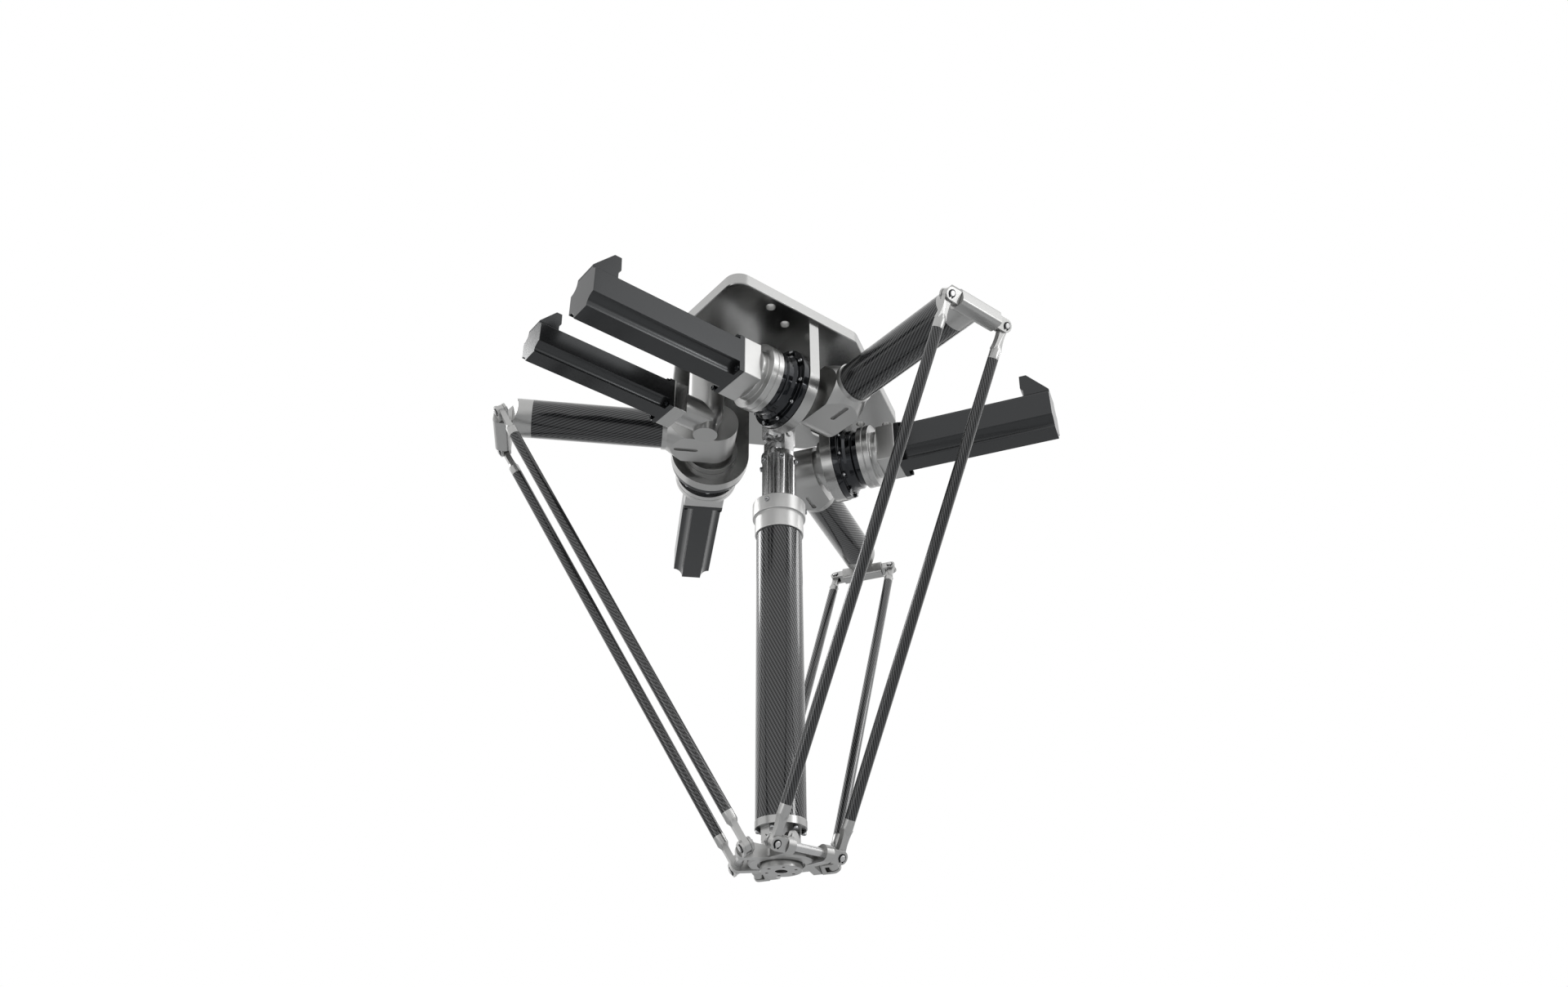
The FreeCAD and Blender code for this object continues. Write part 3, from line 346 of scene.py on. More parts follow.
def turned_tree():
    """Solid of revolution about Z from an outline of (radius, height) points, with its own
    wrap in metres: the way round the piece, then the way along its outline."""
    tree, given = new_tree("turned piece", (
        ("Outline", "NodeSocketGeometry"), ("Closed", "NodeSocketInt"),
        ("Steps", "NodeSocketInt"), ("Edge Radius", "NodeSocketFloat"),
        ("Girth", "NodeSocketFloat"), ("Finish", "NodeSocketMaterial")))
    line = add_node(tree, "GeometryNodeMeshToCurve", {"Mesh": given["Outline"]})
    line = add_node(tree, "GeometryNodeFilletCurve", {
        "Curve": line.outputs[0], "Radius": given["Edge Radius"], "Count": 3,
        "Limit Radius": True}, mode="POLY").outputs[0]
    size = add_node(tree, "GeometryNodeAttributeDomainSize", {"Geometry": line},
                    component="CURVE").outputs["Point Count"]
    rows = add_node(tree, "ShaderNodeMath", {0: size, 1: given["Closed"]}, operation="ADD")
    around = add_node(tree, "ShaderNodeMath", {0: given["Steps"], 1: 1.0},
                      operation="ADD").outputs[0]
    grid = add_node(tree, "GeometryNodeMeshGrid", {
        "Vertices X": rows.outputs[0], "Vertices Y": around})
    index = add_node(tree, "GeometryNodeInputIndex").outputs[0]
    share = add_node(tree, "ShaderNodeMath", {0: index, 1: around}, operation="DIVIDE")
    row = add_node(tree, "ShaderNodeMath", {0: share.outputs[0]}, operation="FLOOR")
    wrapped = add_node(tree, "ShaderNodeMath", {0: row.outputs[0], 1: size},
                       operation="MODULO")
    column = add_node(tree, "ShaderNodeMath", {0: index, 1: around}, operation="MODULO")
    angle = add_node(tree, "ShaderNodeMath", {0: column.outputs[0], 1: given["Steps"]},
                     operation="DIVIDE")
    angle = add_node(tree, "ShaderNodeMath", {0: angle.outputs[0], 1: 2 * math.pi},
                     operation="MULTIPLY")
    position = add_node(tree, "GeometryNodeInputPosition").outputs[0]
    spot = add_node(tree, "GeometryNodeSampleIndex", {
        "Geometry": line, "Value": position, "Index": wrapped.outputs[0]},
        data_type="FLOAT_VECTOR")
    length = add_node(tree, "GeometryNodeSplineParameter").outputs["Length"]
    far = add_node(tree, "GeometryNodeSampleIndex", {
        "Geometry": line, "Value": length, "Index": wrapped.outputs[0]}, data_type="FLOAT")
    swung = add_node(tree, "ShaderNodeVectorRotate", {
        "Vector": spot.outputs[0], "Angle": angle.outputs[0]}, rotation_type="Z_AXIS")
    body = add_node(tree, "GeometryNodeSetPosition", {
        "Geometry": grid.outputs["Mesh"], "Position": swung.outputs[0]})
    turns = add_node(tree, "ShaderNodeSeparateXYZ", {0: grid.outputs["UV Map"]})
    girth = add_node(tree, "ShaderNodeMath", {0: turns.outputs["Y"], 1: given["Girth"]},
                     operation="MULTIPLY")
    far = add_node(tree, "GeometryNodeFieldOnDomain", {"Value": far.outputs[0]},
                   data_type="FLOAT", domain="POINT")
    wrap = add_node(tree, "ShaderNodeCombineXYZ", {"X": girth.outputs[0], "Y": far.outputs[0]})
    mapped = add_node(tree, "GeometryNodeStoreNamedAttribute", {
        "Geometry": body.outputs[0], "Name": "wrap", "Value": wrap.outputs[0]},
        data_type="FLOAT2", domain="CORNER")
    whole = add_node(tree, "GeometryNodeMergeByDistance", {
        "Geometry": mapped.outputs[0], "Distance": WELD})
    close_tree(tree, whole.outputs[0], given["Finish"])
    return tree


turned_piece = turned_tree()


def turned(outline, finish, edge, steps, closed=False):
    """Turned mesh about Z from (radius, height) pairs in millimetres."""
    mesh = bpy.data.meshes.new("outline")
    points = [(r * MM, 0, h * MM) for r, h in outline]
    links = [(k, k + 1) for k in range(len(points) - 1)]
    if closed:
        links.append((len(points) - 1, 0))
    mesh.from_pydata(points, links, [])
    girth = 2 * math.pi * max(r for r, h in outline) * MM
    return through_tree(mesh, turned_piece, {
        "Closed": int(closed), "Steps": steps, "Edge Radius": edge, "Girth": girth,
        "Finish": finish})


def on_shoulder(reach):
    """Place on the shoulder axis, reach away from the arm's middle towards the motor."""
    return facing(SHOULDER - Vector((0, reach, 0)), (0, -1, 0))


# Blued and polished steel: black, with sharp highlights that wrap round each step.
blued = metal_finish("blued polished steel", GEAR_BLACK, GEAR_SHADE, rough=0.16, spread=0.05,
                     pitch=0.6 * MM, relief=0.006 * MM, lay=(1, 0.1, 1), metallic=0.85, coat=0.6)
housing = moved(turned(GEAR_PROFILE, blued, edge=0.8 * MM, steps=96), on_shoulder(BRACKET_BACK))
for arm in (1, 2, 3):
    show("gear_housing_%d" % arm, housing, blued, "base", ["gearbox_%d" % arm],
         arm)

# Flange screws. Ten zinc-plated cap screws with hexagon sockets stand in a ring on each
# gearbox flange and hold it to the bracket.
FLANGE_SCREW = (4.2 * MM, 5 * MM)
FLANGE_SCREWS = 10
FLANGE_CIRCLE = 69.6 * MM
FLANGE_THICK = 12 * MM
ZINC = "B8B9BA"
ZINC_SHADE = "9A9B9D"
# Zinc plate: bright, slightly bluish grey, a little cloudy.
zinc = metal_finish("zinc-plated steel", ZINC, ZINC_SHADE, rough=0.24, spread=0.06,
                    pitch=0.7 * MM, relief=0.01 * MM)
screws = through_tree(socket_screw(*FLANGE_SCREW), ring_of, {
    "Count": FLANGE_SCREWS, "Ring Radius": FLANGE_CIRCLE, "Start": math.pi / FLANGE_SCREWS,
    "Finish": zinc})
screws = moved(screws, on_shoulder(BRACKET_BACK + FLANGE_THICK))
screws = through_tree(screws, ring_of, {"Count": 3, "Finish": zinc})
show("flange_cap_screws", screws, zinc, "base", ["flange_screws"])

# Input rings and square adapters. The ring is turned from aluminium bar in two bands
# with a groove, and carries the square, milled block that the motor is screwed to.
RING_START = 136 * MM
RING_PROFILE = ((0, 0), (62.5, 0), (62.5, 11), (60.9, 11), (60.9, 13), (62.5, 13), (62.5, 24),
                (47, 24), (47, 36), (0, 36))
ADAPTER_START = 171 * MM
ADAPTER_LENGTH = 38 * MM
ADAPTER_EDGE = 2 * MM
MOTOR_SIDE = 80 * MM
TURNED_LIGHT = "BEBEBD"
TURNED_SHADE = "B2B2B1"
FEED_MARK = 1.0 * MM
FEED_RUN = 250 * MM
TURNED_CLOUD = 30 * MM
TURNED_SPREAD = 0.04


def turned_finish(name, bright, shade, rough, relief):
    """Metal off the lathe: fine rings round the piece, which follow its own wrap. They are
    drawn 1 mm apart, coarser than a real feed, which wouldn't show at the robot's size."""
    finish, tree = new_finish(name)
    wrap = add_node(tree, "ShaderNodeUVMap", uv_map="wrap").outputs[0]
    place = add_node(tree, "ShaderNodeTexCoord").outputs["Object"]
    along = add_node(tree, "ShaderNodeMapping", {
        "Vector": wrap, "Scale": (1 / FEED_RUN, 1 / FEED_MARK, 1)})
    rings = add_node(tree, "ShaderNodeTexNoise", {
        "Vector": along.outputs[0], "Scale": 1.0, "Detail": 2.0})
    cloud = add_node(tree, "ShaderNodeTexNoise", {
        "Vector": place, "Scale": 1 / TURNED_CLOUD, "Detail": 2.0})
    level = add_node(tree, "ShaderNodeMapRange", {
        "Value": rings.outputs["Fac"], "From Min": 0.3, "From Max": 0.7,
        "To Min": rough - TURNED_SPREAD, "To Max": rough + TURNED_SPREAD})
    tint = add_node(tree, "ShaderNodeMix", {
        "Factor": cloud.outputs["Fac"], "A": linear(bright), "B": linear(shade)},
        data_type="RGBA")
    bump = add_node(tree, "ShaderNodeBump", {
        "Height": rings.outputs["Fac"], "Strength": 0.6, "Distance": relief})
    shader = add_node(tree, "ShaderNodeBsdfPrincipled", {
        "Base Color": tint.outputs["Result"], "Roughness": level.outputs[0],
        "Metallic": 1.0, "Normal": bump.outputs[0]})
    close_finish(tree, shader)
    return finish


def extruded(outline, low, high, edge, segments=2, kept=()):
    """Closed solid along Z from an outline in X and Y. Its sharp edges are broken, but for
    those at the kept heights, where it meets its neighbour."""
    work = bmesh.new()
    base = work.faces.new([work.verts.new((x, y, low)) for x, y in outline])
    grown = bmesh.ops.extrude_face_region(work, geom=[base])
    top = [v for v in grown["geom"] if isinstance(v, bmesh.types.BMVert)]
    bmesh.ops.translate(work, verts=top, vec=(0, 0, high - low))
    bmesh.ops.recalc_face_normals(work, faces=work.faces)
    sharp = [e for e in work.edges if e.calc_face_angle(0) > SHARP]
    meeting = [e for e in sharp for h in kept if all(abs(v.co.z - h) < WELD for v in e.verts)]
    for rim in meeting:
        rim.smooth = False
        sharp.remove(rim)
    bmesh.ops.bevel(work, geom=sharp, offset=edge, segments=segments, profile=0.5,
                    affect="EDGES", clamp_overlap=True)
    mesh = bpy.data.meshes.new("solid")
    work.to_mesh(mesh)
    work.free()
    return mesh


def square(side):
    """Corners of a square round the origin."""
    half = side / 2
    return [(-half, -half), (half, -half), (half, half), (-half, half)]


# Lathe-turned aluminium: bright, with hair-fine rings that spread the highlights.
lathe_aluminium = turned_finish("lathe-turned aluminium", TURNED_LIGHT, TURNED_SHADE,
                                rough=0.3, relief=0.004 * MM)
ring = moved(turned(RING_PROFILE, lathe_aluminium, edge=0.9 * MM, steps=96),
             on_shoulder(RING_START))
block = moved(extruded(square(MOTOR_SIDE), 0, ADAPTER_LENGTH, ADAPTER_EDGE, segments=3),
              on_shoulder(ADAPTER_START))
train = joined("input ring", [ring, block])
for arm in (1, 2, 3):
    show("input_ring_and_block_%d" % arm, train, lathe_aluminium, "base",
         ["input_ring_%d" % arm], arm)

# Shoulder motors. Each is a square servo motor in black-anodised aluminium, with a round
# channel down each long corner, one smaller, that ends at the full square front flange.
# The third motor is built to the other hand, as the photo shows its inner side.
MOTOR_START = ADAPTER_START + ADAPTER_LENGTH
MOTOR_LENGTH = 308 * MM
MOTOR_FRONT = 10 * MM
FRONT_EDGE = 1.0 * MM
COVER_THICK = 14 * MM
CASE_EDGE = 0.6 * MM
CHANNEL_SHARES = (0.12, 0.24, 0.24, 0.24)
CHANNEL_STEPS = 12
HANDS = {1: Matrix(), 2: Matrix(), 3: Matrix.Diagonal((-1, 1, 1, 1))}
ANODISED_BLACK = "3A3B3C"
ANODISED_SHADE = "424344"
BLAST_GRAIN = 0.8 * MM


def channelled(side):
    """Square outline with a round channel for each corner, from the upper outer one."""
    half, outline = side / 2, []
    for quarter, share in enumerate(CHANNEL_SHARES):
        turn, radius = math.pi / 2 * quarter, side * share
        for k in range(CHANNEL_STEPS + 1):
            a = math.pi * 1.5 - math.pi / 2 * k / CHANNEL_STEPS
            x, y = half + radius * math.cos(a), half + radius * math.sin(a)
            outline.append((x * math.cos(turn) - y * math.sin(turn),
                            x * math.sin(turn) + y * math.cos(turn)))
    return outline


def motor_case(side, length):
    """Front flange and channelled case, with the front face on z = 0."""
    rear = length - COVER_THICK
    flange = extruded(square(side), 0, MOTOR_FRONT, FRONT_EDGE, kept=[MOTOR_FRONT])
    case = extruded(channelled(side), MOTOR_FRONT, rear, CASE_EDGE, kept=[MOTOR_FRONT, rear])
    return joined("motor", [flange, case])


# Black-anodised and bead-blasted aluminium: charcoal, satin, with soft broad highlights.
anodised = metal_finish("black-anodised aluminium", ANODISED_BLACK, ANODISED_SHADE, rough=0.22,
                        spread=0.04, pitch=BLAST_GRAIN, relief=0.001 * MM, metallic=0.8)
case = motor_case(MOTOR_SIDE, MOTOR_LENGTH)
for arm, hand in HANDS.items():
    show("motor_case_%d" % arm, moved(case, on_shoulder(MOTOR_START) @ hand), anodised, "base",
         ["motor_%d" % arm], arm)

# Rear covers. Each closes a motor, in the motor's own section and finish. A folded hood
# over the sockets stands between the two upper channels and rises forwards from the
# rear edge.
HOOD_PROFILE = ((0, 0), (0, 4), (39, 48), (53, 48), (54, 20), (49, 13), (49, 0))
HOOD_EDGE = 1.0 * MM


def rear_cover(side):
    """Cover with its rear face on z = 0, grown towards -Z, with its hood on +Y."""
    share, half = side / MOTOR_SIDE * MM, side / 2
    plate = extruded(channelled(side), -COVER_THICK, 0, CASE_EDGE, kept=[-COVER_THICK])
    hood = extruded([(-far * share, up * share + half) for far, up in HOOD_PROFILE],
                    side * CHANNEL_SHARES[0] - half, half - side * CHANNEL_SHARES[1], HOOD_EDGE)
    hood.transform(Matrix.Rotation(math.radians(-90), 4, "Y"))
    return joined("rear cover", [plate, hood])


def rear_place(rear):
    """Cover's place: its rear faces -Y and its hood stands up."""
    return Matrix.Translation(rear) @ Matrix.Rotation(math.radians(90), 4, "X")


cover = rear_cover(MOTOR_SIDE)
motor_rear = rear_place(SHOULDER - Vector((0, MOTOR_START + MOTOR_LENGTH, 0)))
for arm, hand in HANDS.items():
    show("rear_cover_%d" % arm, moved(cover, motor_rear @ hand), anodised, "base",
         ["motor_cover_%d" % arm], arm)

# Turning drive. A fourth, smaller motor of the same kind turns the central shaft
# through a cast right-angle gearbox that stands beside bracket 2.
TURN_SIDE = 61 * MM
TURN_LENGTH = 274 * MM
TURN_ADAPTER = 28 * MM
TURN_EDGE = 1.6 * MM
TURN_HEIGHT = -172 * MM
TURN_ENTRY = -236 * MM
CAST_LIGHT = "B2B2B1"
CAST_SHADE = "A2A2A1"
CAST_GRAIN = 1.1 * MM
turn_face = Vector((0, TURN_ENTRY - TURN_ADAPTER, TURN_HEIGHT))
mesh = moved(motor_case(TURN_SIDE, TURN_LENGTH), facing(turn_face, (0, -1, 0)))
show("turn_motor_case", mesh, anodised, "base", ["turn_motor"])
mesh = moved(rear_cover(TURN_SIDE), rear_place(turn_face - Vector((0, TURN_LENGTH, 0))))
show("turn_rear_cover", mesh, anodised, "base", ["turn_motor_cover"])
mesh = moved(extruded(square(TURN_SIDE), 0, TURN_ADAPTER, TURN_EDGE, segments=3),
             facing((0, TURN_ENTRY, TURN_HEIGHT), (0, -1, 0)))
show("turn_block", mesh, milled, "base", ["turn_adapter"])
# Cast and bead-blasted aluminium: soft grey, with a fine even grain.
cast = metal_finish("blasted cast aluminium", CAST_LIGHT, CAST_SHADE, rough=0.36, spread=0.04,
                    pitch=CAST_GRAIN, relief=0.002 * MM)
dressed("turn_gear_housing", "turn_gearbox", cast, edge=1.0 * MM)

# Motor screws. Four black-oxidised cap screws hold each motor by its front flange. Each
# head stands in a corner channel.
MOTOR_SCREW = (5 * MM, 6 * MM)
MOTOR_SCREW_INSET = 0.9
shells = []
for side, face, arms in ((MOTOR_SIDE, SHOULDER - Vector((0, MOTOR_START, 0)), 3),
                         (TURN_SIDE, turn_face, 1)):
    inset = side / 2 - MOTOR_SCREW[0] * MOTOR_SCREW_INSET
    screw = socket_screw(MOTOR_SCREW[0] * side / MOTOR_SIDE, MOTOR_SCREW[1])
    corners = through_tree(screw, ring_of, {
        "Count": 4, "Ring Radius": inset * math.sqrt(2), "Start": math.pi / 4,
        "Finish": black_oxide})
    corners.transform(facing(face - Vector((0, MOTOR_FRONT, 0)), (0, -1, 0)))
    shells.append(through_tree(corners, ring_of, {"Count": arms, "Finish": black_oxide}))
show("motor_cap_screws", joined("motor screws", shells), black_oxide, "base",
     ["motor_screws"])

# Spindle housing. A turned aluminium flange and barrel under the plate's middle that
# carries the turning spindle.
HOUSING = ((15.1, 0), (46, 0), (46, 10), (34, 10), (34, 71), (15.1, 71))
mesh = moved(turned(HOUSING, lathe_aluminium, edge=0.8 * MM, steps=72, closed=True),
             facing((0, 0, -PLATE_THICK), (0, 0, -1)))
show("spindle_barrel", mesh, lathe_aluminium, "base", ["spindle_housing"])

# Upper arms. A machined hub on the gearbox shaft, flat and slotted below, coned to a
# round socket; a carbon tube bonded into it; and a cap that holds the elbow's cross bar.
SOCKET_START = 64 * MM
TUBE_END = 346 * MM
TUBE_SECTION = (36.8, 32.8)
TUBE_EDGE = 0.3 * MM
TOW = 2.85 * MM
TOW_CROWN = 0.5 * MM
FIBRE = 0.4 * MM
TOW_LIGHT = "6A6B6C"
TOW_DARK = "08080A"
BLASTED = "B4B4B3"
BLASTED_SHADE = "A8A8A7"


def carbon_twill(name, tow):
    """Two-by-two carbon twill under clear lacquer, with flat tows drawn out along the piece.
    Fibres are drawn as streaks, as a real filament is too fine to show."""
    finish, tree = new_finish(name)
    wrap = add_node(tree, "ShaderNodeUVMap", uv_map="wrap").outputs[0]
    cells = add_node(tree, "ShaderNodeMapping", {
        "Vector": wrap, "Scale": (2 / tow, 1 / tow, 1)})
    parts = add_node(tree, "ShaderNodeSeparateXYZ", {0: cells.outputs[0]}).outputs
    column = add_node(tree, "ShaderNodeMath", {0: parts["X"]}, operation="FLOOR")
    row = add_node(tree, "ShaderNodeMath", {0: parts["Y"]}, operation="FLOOR")
    step = add_node(tree, "ShaderNodeMath", {0: column.outputs[0], 1: row.outputs[0]},
                    operation="ADD")
    four = add_node(tree, "ShaderNodeMath", {0: step.outputs[0], 1: 4.0},
                    operation="FLOORED_MODULO")
    over = add_node(tree, "ShaderNodeMath", {0: four.outputs[0], 1: 1.5},
                    operation="LESS_THAN").outputs[0]
    crowns = []
    for axis in ("X", "Y"):
        part = add_node(tree, "ShaderNodeMath", {0: parts[axis]}, operation="FRACT")
        crowns.append(add_node(tree, "ShaderNodeMath", {0: part.outputs[0], 1: 0.5},
                               operation="SUBTRACT"))
    across, along = crowns
    crown = add_node(tree, "ShaderNodeMix", {
        "Factor": over, "A": along.outputs[0], "B": across.outputs[0]},
        data_type="FLOAT").outputs["Result"]
    height = add_node(tree, "ShaderNodeMath", {0: crown, 1: crown}, operation="MULTIPLY")
    fibres = add_node(tree, "ShaderNodeTexNoise", {
        "Vector": wrap, "Scale": 1 / FIBRE, "Detail": 1.0})
    light = add_node(tree, "ShaderNodeMix", {
        "Factor": fibres.outputs["Fac"], "A": linear(TOW_LIGHT), "B": linear(TOW_DARK)},
        data_type="RGBA")
    tint = add_node(tree, "ShaderNodeMix", {
        "Factor": over, "A": linear(TOW_DARK), "B": light.outputs["Result"]},
        data_type="RGBA")
    gloss = add_node(tree, "ShaderNodeMapRange", {
        "Value": over, "To Min": 0.36, "To Max": 0.24})
    sheen = add_node(tree, "ShaderNodeMath", {0: over, 1: 0.8}, operation="MULTIPLY")
    bump = add_node(tree, "ShaderNodeBump", {
        "Height": height.outputs[0], "Strength": 0.5, "Distance": -TOW_CROWN})
    shader = add_node(tree, "ShaderNodeBsdfPrincipled", {
        "Base Color": tint.outputs["Result"], "Roughness": gloss.outputs[0],
        "Metallic": sheen.outputs[0], "Specular IOR Level": 0.0, "Coat Weight": 1.0,
        "Coat Roughness": 0.12, "Normal": bump.outputs[0]})
    close_finish(tree, shader)
    return finish


def tube(outer, inner, length, finish, steps):
    """Open carbon tube along Z."""
    section = ((inner, 0), (outer, 0), (outer, length / MM), (inner, length / MM))
    return turned(section, finish, TUBE_EDGE, steps, closed=True)


# Carbon twill under lacquer: black, with fine diagonal rows where tows catch the light.
twill = carbon_twill("lacquered carbon twill", TOW)
# Machined from bar and blasted: pale satin grey, finer in grain than the castings.
blasted = metal_finish("blasted machined aluminium", BLASTED, BLASTED_SHADE, rough=0.32,
                       spread=0.03, pitch=BLAST_GRAIN, relief=0.001 * MM)
arm_sleeve = moved(tube(*TUBE_SECTION, TUBE_END - SOCKET_START, twill, steps=64),
                   facing(SHOULDER + Vector((SOCKET_START, 0, 0)), (1, 0, 0)))
for arm in (1, 2, 3):
    dressed("hub_%d" % arm, "arm_hub_%d" % arm, blasted, edge=0.8 * MM)
    dressed("elbow_end_%d" % arm, "elbow_cap_%d" % arm, blasted,
            edge=0.7 * MM)
    show("carbon_arm_%d" % arm, arm_sleeve, twill, "arm_%d" % arm, ["arm_tube_%d" % arm],
         arm)

# Forearms. A cross bar with a forked end on each side turns in the elbow; two carbon
# rods with flat, waisted ends hang from it by pins and hold two lower forks.
ELBOW = Vector((526.5, 0, -173.8)) * MM
LEAN = math.radians(30.547)
ROD_LENGTH = 909 * MM
ROD_END = 60 * MM
ROD_SECTION = (9.5, 7.5)
PIN_Y = 65 * MM
FORK_HALF = 9.6 * MM
PIN_PROFILE = ((0, -12.6), (4, -12.6), (5, -11.6), (5, 11.6), (4, 12.6), (0, 12.6))
CLIP_RADII = (5.1 * MM, 6.9 * MM)
CLIP_THICK = 1.0 * MM
CLIP_GAP = 0.1 * MM
CLIP_EYE = 1.2 * MM
CLIP_EDGE = 0.15 * MM
CLIP_OPEN = math.radians(50)
CLIP_STEPS = 28
EYE_STEPS = 12
# Drawn a little coarser than the 2 mm tows of a thin tube's cloth, so that rows show.
FINE_TOW = 2.4 * MM
STEEL = "C6C6C6"
STEEL_SHADE = "B8B8B8"


def leaned(mesh):
    """Mesh drawn with its cross bar on the origin and its rods down, set on the elbow."""
    return moved(mesh, Matrix.Translation(ELBOW) @ Matrix.Rotation(LEAN, 4, "Y"))


def arc(radius, angles, x=0.0, y=0.0):
    """Points of an arc round (x, y)."""
    return [(x + radius * math.cos(a), y + radius * math.sin(a)) for a in angles]


def spring_clip():
    """Open retaining ring round Z with an eye at each end."""
    inner, outer = CLIP_RADII
    sweep = 2 * math.pi - CLIP_OPEN
    angles = [CLIP_OPEN / 2 + sweep * k / CLIP_STEPS for k in range(CLIP_STEPS + 1)]
    around = [2 * math.pi * k / EYE_STEPS for k in range(EYE_STEPS)]
    outlines = [arc(outer, angles) + arc(inner, angles[::-1])]
    for x, y in arc(outer, (angles[0], angles[-1])):
        outlines.append(arc(CLIP_EYE, around, x, y))
    return joined("clip", [extruded(outline, 0, CLIP_THICK, CLIP_EDGE, segments=1)
                           for outline in outlines])


# Ground and polished steel: bright and satin, with soft streaks of what stands round it.
polished = metal_finish("ground polished steel", STEEL, STEEL_SHADE, rough=0.27, spread=0.04,
                        pitch=0.5 * MM, relief=0.001 * MM, lay=(1, 1, 0.1))
# The same lacquered twill in finer rows.
rod_twill = carbon_twill("fine lacquered carbon twill", FINE_TOW)
pin = turned(PIN_PROFILE, polished, edge=0.4 * MM, steps=32)
clip = spring_clip()
clip_pair = joined("clips", [moved(clip, Matrix.Translation((0, 0, height))) for height in
                             (FORK_HALF + CLIP_GAP, -FORK_HALF - CLIP_GAP - CLIP_THICK)])
spots = [facing((0, side * PIN_Y, -drop), (1, 0, 0))
         for side in (-1, 1) for drop in (0, ROD_LENGTH)]
pins = leaned(joined("pins", [moved(pin, spot) for spot in spots]))
clips = leaned(joined("rings", [moved(clip_pair, spot) for spot in spots]))
rod = tube(*ROD_SECTION, ROD_LENGTH - 2 * ROD_END, rod_twill, steps=32)
for arm in (1, 2, 3):
    body, pin_nodes = "forearm_%d" % arm, ["joint_pins_%d" % arm]
    dressed("fork_bar_%d" % arm, "cross_bar_%d" % arm, blasted)
    dressed("lower_forks_%d" % arm, "low_clevises_%d" % arm, blasted)
    dressed("rod_eyes_%d" % arm, "rod_ends_%d" % arm, blasted)
    show("fork_pins_%d" % arm, pins, polished, body, pin_nodes, arm)
    show("spring_clips_%d" % arm, clips, black_oxide, body, pin_nodes, arm)
    for side, word in ((1, "left"), (-1, "right")):
        mesh = leaned(moved(rod, facing((0, side * PIN_Y, -ROD_END), (0, 0, -1))))
        show("carbon_rod_%s_%d" % (word, arm), mesh, rod_twill, body,
             ["rod_%s_%d" % (word, arm)], arm)

# Platform. A machined aluminium body with six bosses that hold three polished axles,
# on which the lower forks swing.
PLATFORM_Z = -956.639 * MM
AXLE_X = 64.5 * MM
AXLE = ((0, -45.7), (7, -45.7), (7, 45.7), (0, 45.7))
dressed("platform_body_shell", "platform", blasted, edge=0.8 * MM)
axle = moved(turned(AXLE, polished, edge=0.5 * MM, steps=36),
             facing((AXLE_X, 0, PLATFORM_Z), (0, 1, 0)))
axles = through_tree(axle, ring_of, {"Count": 3, "Finish": polished})
show("polished_axles", axles, polished, "platform_body", ["axles"])

# Universal joint and guide rods. Polished steel yokes and cross under the spindle, and
# six ground rods that hang from the lower yoke's head, each held by a plated set screw.
HEAD_BOTTOM = -195 * MM
GUIDE_ROD = ((0, 0), (9, 0), (9, 416), (0, 416))
GUIDES = 6
GUIDE_CIRCLE = 25 * MM
SET_SCREW = (5 * MM, 5 * MM)
SET_SCREW_FOOT = 8 * MM
SET_SCREW_DROP = 10 * MM
dressed("upper_cardan", "upper_joint", polished, edge=0.6 * MM)
guide = moved(turned(GUIDE_ROD, polished, edge=0.8 * MM, steps=40),
              facing((0, 0, HEAD_BOTTOM), (0, 0, -1)))
set_screw = moved(socket_screw(*SET_SCREW),
                  facing((SET_SCREW_FOOT, 0, HEAD_BOTTOM - SET_SCREW_DROP), (1, 0, 0)))
for name, part, finish, slot_name in (("ground_guides", guide, polished, "polished_steel"),
                                      ("guide_set_screws", set_screw, zinc, "screw_steel")):
    mesh = through_tree(part, ring_of, {
        "Count": GUIDES, "Ring Radius": GUIDE_CIRCLE, "Start": math.pi / GUIDES,
        "Finish": finish})
    show(name, mesh, finish, "shaft_upper", ["guide_rods"])

# Sliding shaft. A two-step aluminium collar runs on the guide rods and holds a carbon
# tube; its end ring carries the lower joint that turns the tool flange.
COLLAR_OUTLINE = ((0, -297), (49.7, -297), (49.7, -328), (45.2, -328), (45.2, -363),
                  (0, -363))
STUD = (5 * MM, 4 * MM)
STUDS = 3
STUD_FOOT = 48.7 * MM
STUD_Z = -308 * MM
STUD_START = math.radians(55)
SHAFT_SECTION = (42.3, 39.0)
SHAFT_TOP = -331 * MM
SHAFT_END = -898.04 * MM
END_SCREW = (4.2 * MM, 7 * MM)
END_SCREWS = 6
END_SCREW_CIRCLE = 37.5 * MM
END_FACE = -911.04 * MM
PALE = "C8C8C7"
PALE_SHADE = "C0C0BF"
# Turned and clear anodised, almost white, with a silky dull sheen.
pale = turned_finish("pale anodised aluminium", PALE, PALE_SHADE, rough=0.42,
                     relief=0.002 * MM)
collar = turned(COLLAR_OUTLINE, pale, edge=1.2 * MM, steps=96)
show("sliding_collar", collar, pale, "shaft_lower", ["collar"])
stud = moved(socket_screw(*STUD), facing((STUD_FOOT, 0, STUD_Z), (1, 0, 0)))
studs = through_tree(stud, ring_of, {"Count": STUDS, "Start": STUD_START, "Finish": zinc})
show("collar_set_screws", studs, zinc, "shaft_lower", ["collar"])
mesh = moved(tube(*SHAFT_SECTION, SHAFT_TOP - SHAFT_END, twill, steps=64),
             facing((0, 0, SHAFT_TOP), (0, 0, -1)))
show("carbon_shaft", mesh, twill, "shaft_lower", ["shaft_tube"])
dressed("lower_yoke_ring", "end_ring", blasted, edge=0.6 * MM)
dressed("tool_plate", "tool_flange", blasted, edge=0.6 * MM)
screw = moved(socket_screw(*END_SCREW), facing((0, 0, 0), (0, 0, -1)))
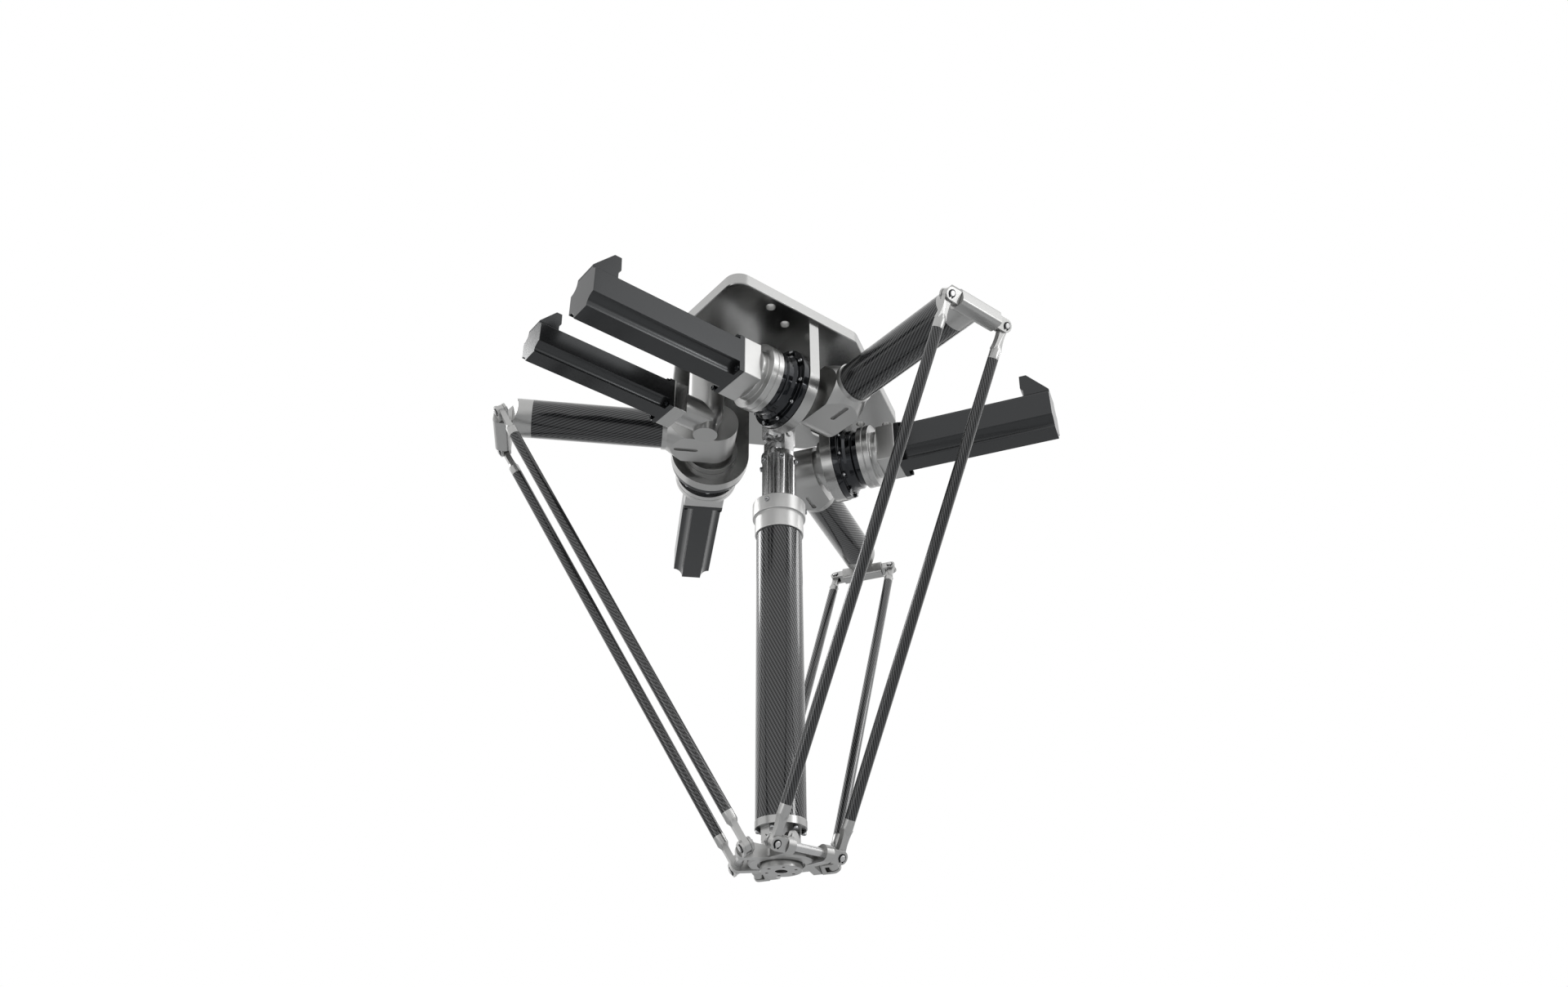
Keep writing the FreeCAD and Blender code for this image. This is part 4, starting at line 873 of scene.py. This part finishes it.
screws = through_tree(screw, ring_of, {
    "Count": END_SCREWS, "Ring Radius": END_SCREW_CIRCLE, "Finish": zinc})
show("end_cap_screws", moved(screws, Matrix.Translation((0, 0, END_FACE))), zinc,
     "shaft_lower", ["end_screws"])

# Floor, light and camera. A pale floor lies far below the hanging robot in a white
# surround. Six soft lamps light it, three from the upper right and one each from the
# left, the right and below.
FLOOR_DROP = 1.75
FLOOR_SIZE = 12
FLOOR_MOTTLE = 1 / 3
FLOOR_LIGHT = "E4E5E6"
FLOOR_SHADE = "DCDDDE"
LAMPS = (((1.94, 1.27, 0.95), 2.4, 8), ((2.14, 0.78, 1.05), 0.5, 3),
         ((-2.05, -1.0, 1.06), 0.9, 12), ((2.36, 0.93, -0.18), 0.5, 6),
         ((0.2, -2.2, -1.2), 0.9, 3), ((1.05, 2.1, 0.95), 0.9, 8))
AIM = Vector((0, 0, -0.4))
DIM = "E6E6E6"
WHITE = "FFFFFF"
CAMERA = Vector((1.4959, -1.1911, -1.4840))
CAMERA_AXES = ((0.6231, 0.7821, -0.0075), (0.4236, -0.3294, 0.8439),
               (0.6575, -0.529, -0.5365))
CAMERA_LENS = 27.35
SENSOR = 36

floor = bpy.data.meshes.new("floor")
floor.from_pydata([(x, y, -FLOOR_DROP) for x, y in square(FLOOR_SIZE)], [], [(0, 1, 2, 3)])
# Matt floor paint: pale and even, faintly mottled.
finish, tree = new_finish("pale floor")
place = add_node(tree, "ShaderNodeTexCoord").outputs["Object"]
mottle = add_node(tree, "ShaderNodeTexNoise", {"Vector": place, "Scale": 1 / FLOOR_MOTTLE})
tint = add_node(tree, "ShaderNodeMix", {
    "Factor": mottle.outputs["Fac"], "A": linear(FLOOR_LIGHT), "B": linear(FLOOR_SHADE)},
    data_type="RGBA")
close_finish(tree, add_node(tree, "ShaderNodeBsdfPrincipled", {
    "Base Color": tint.outputs["Result"], "Roughness": 0.9}))
floor.materials.append(finish)
ground = bpy.data.objects.new("floor", floor)
bpy.context.scene.collection.objects.link(ground)

for number, (spot, size, power) in enumerate(LAMPS):
    lamp = bpy.data.lights.new("soft lamp %d" % number, "AREA")
    lamp.energy = power
    lamp.shape = "DISK"
    lamp.size = size
    stand = bpy.data.objects.new("soft lamp %d" % number, lamp)
    stand.location = spot
    stand.rotation_euler = (AIM - Vector(spot)).to_track_quat("-Z", "Y").to_euler()
    bpy.context.scene.collection.objects.link(stand)

world = bpy.data.worlds.new("surround")
bpy.context.scene.world = world
world.use_nodes = True
tree = world.node_tree
tree.nodes.clear()
rays = add_node(tree, "ShaderNodeLightPath").outputs
seen = add_node(tree, "ShaderNodeMath", {0: rays["Is Camera Ray"], 1: rays["Is Glossy Ray"]},
                operation="MAXIMUM")
seen = add_node(tree, "ShaderNodeMath", {0: seen.outputs[0], 1: rays["Is Transmission Ray"]},
                operation="MAXIMUM")
# Pale grey light on the pieces, and pure white where the surround is seen or mirrored.
dim = add_node(tree, "ShaderNodeBackground", {"Color": linear(DIM), "Strength": 0.8})
white = add_node(tree, "ShaderNodeBackground", {"Color": linear(WHITE), "Strength": 1.0})
mixed = add_node(tree, "ShaderNodeMixShader", {
    0: seen.outputs[0], 1: dim.outputs[0], 2: white.outputs[0]})
add_node(tree, "ShaderNodeOutputWorld", {"Surface": mixed.outputs[0]})

lens = bpy.data.cameras.new("camera")
lens.lens = CAMERA_LENS
lens.sensor_width = SENSOR
lens.sensor_fit = "HORIZONTAL"
camera = bpy.data.objects.new("camera", lens)
camera.matrix_world = Matrix.Translation(CAMERA) @ Matrix(CAMERA_AXES).transposed().to_4x4()
bpy.context.scene.collection.objects.link(camera)
bpy.context.scene.camera = camera
bpy.context.scene.view_settings.view_transform = "Standard"
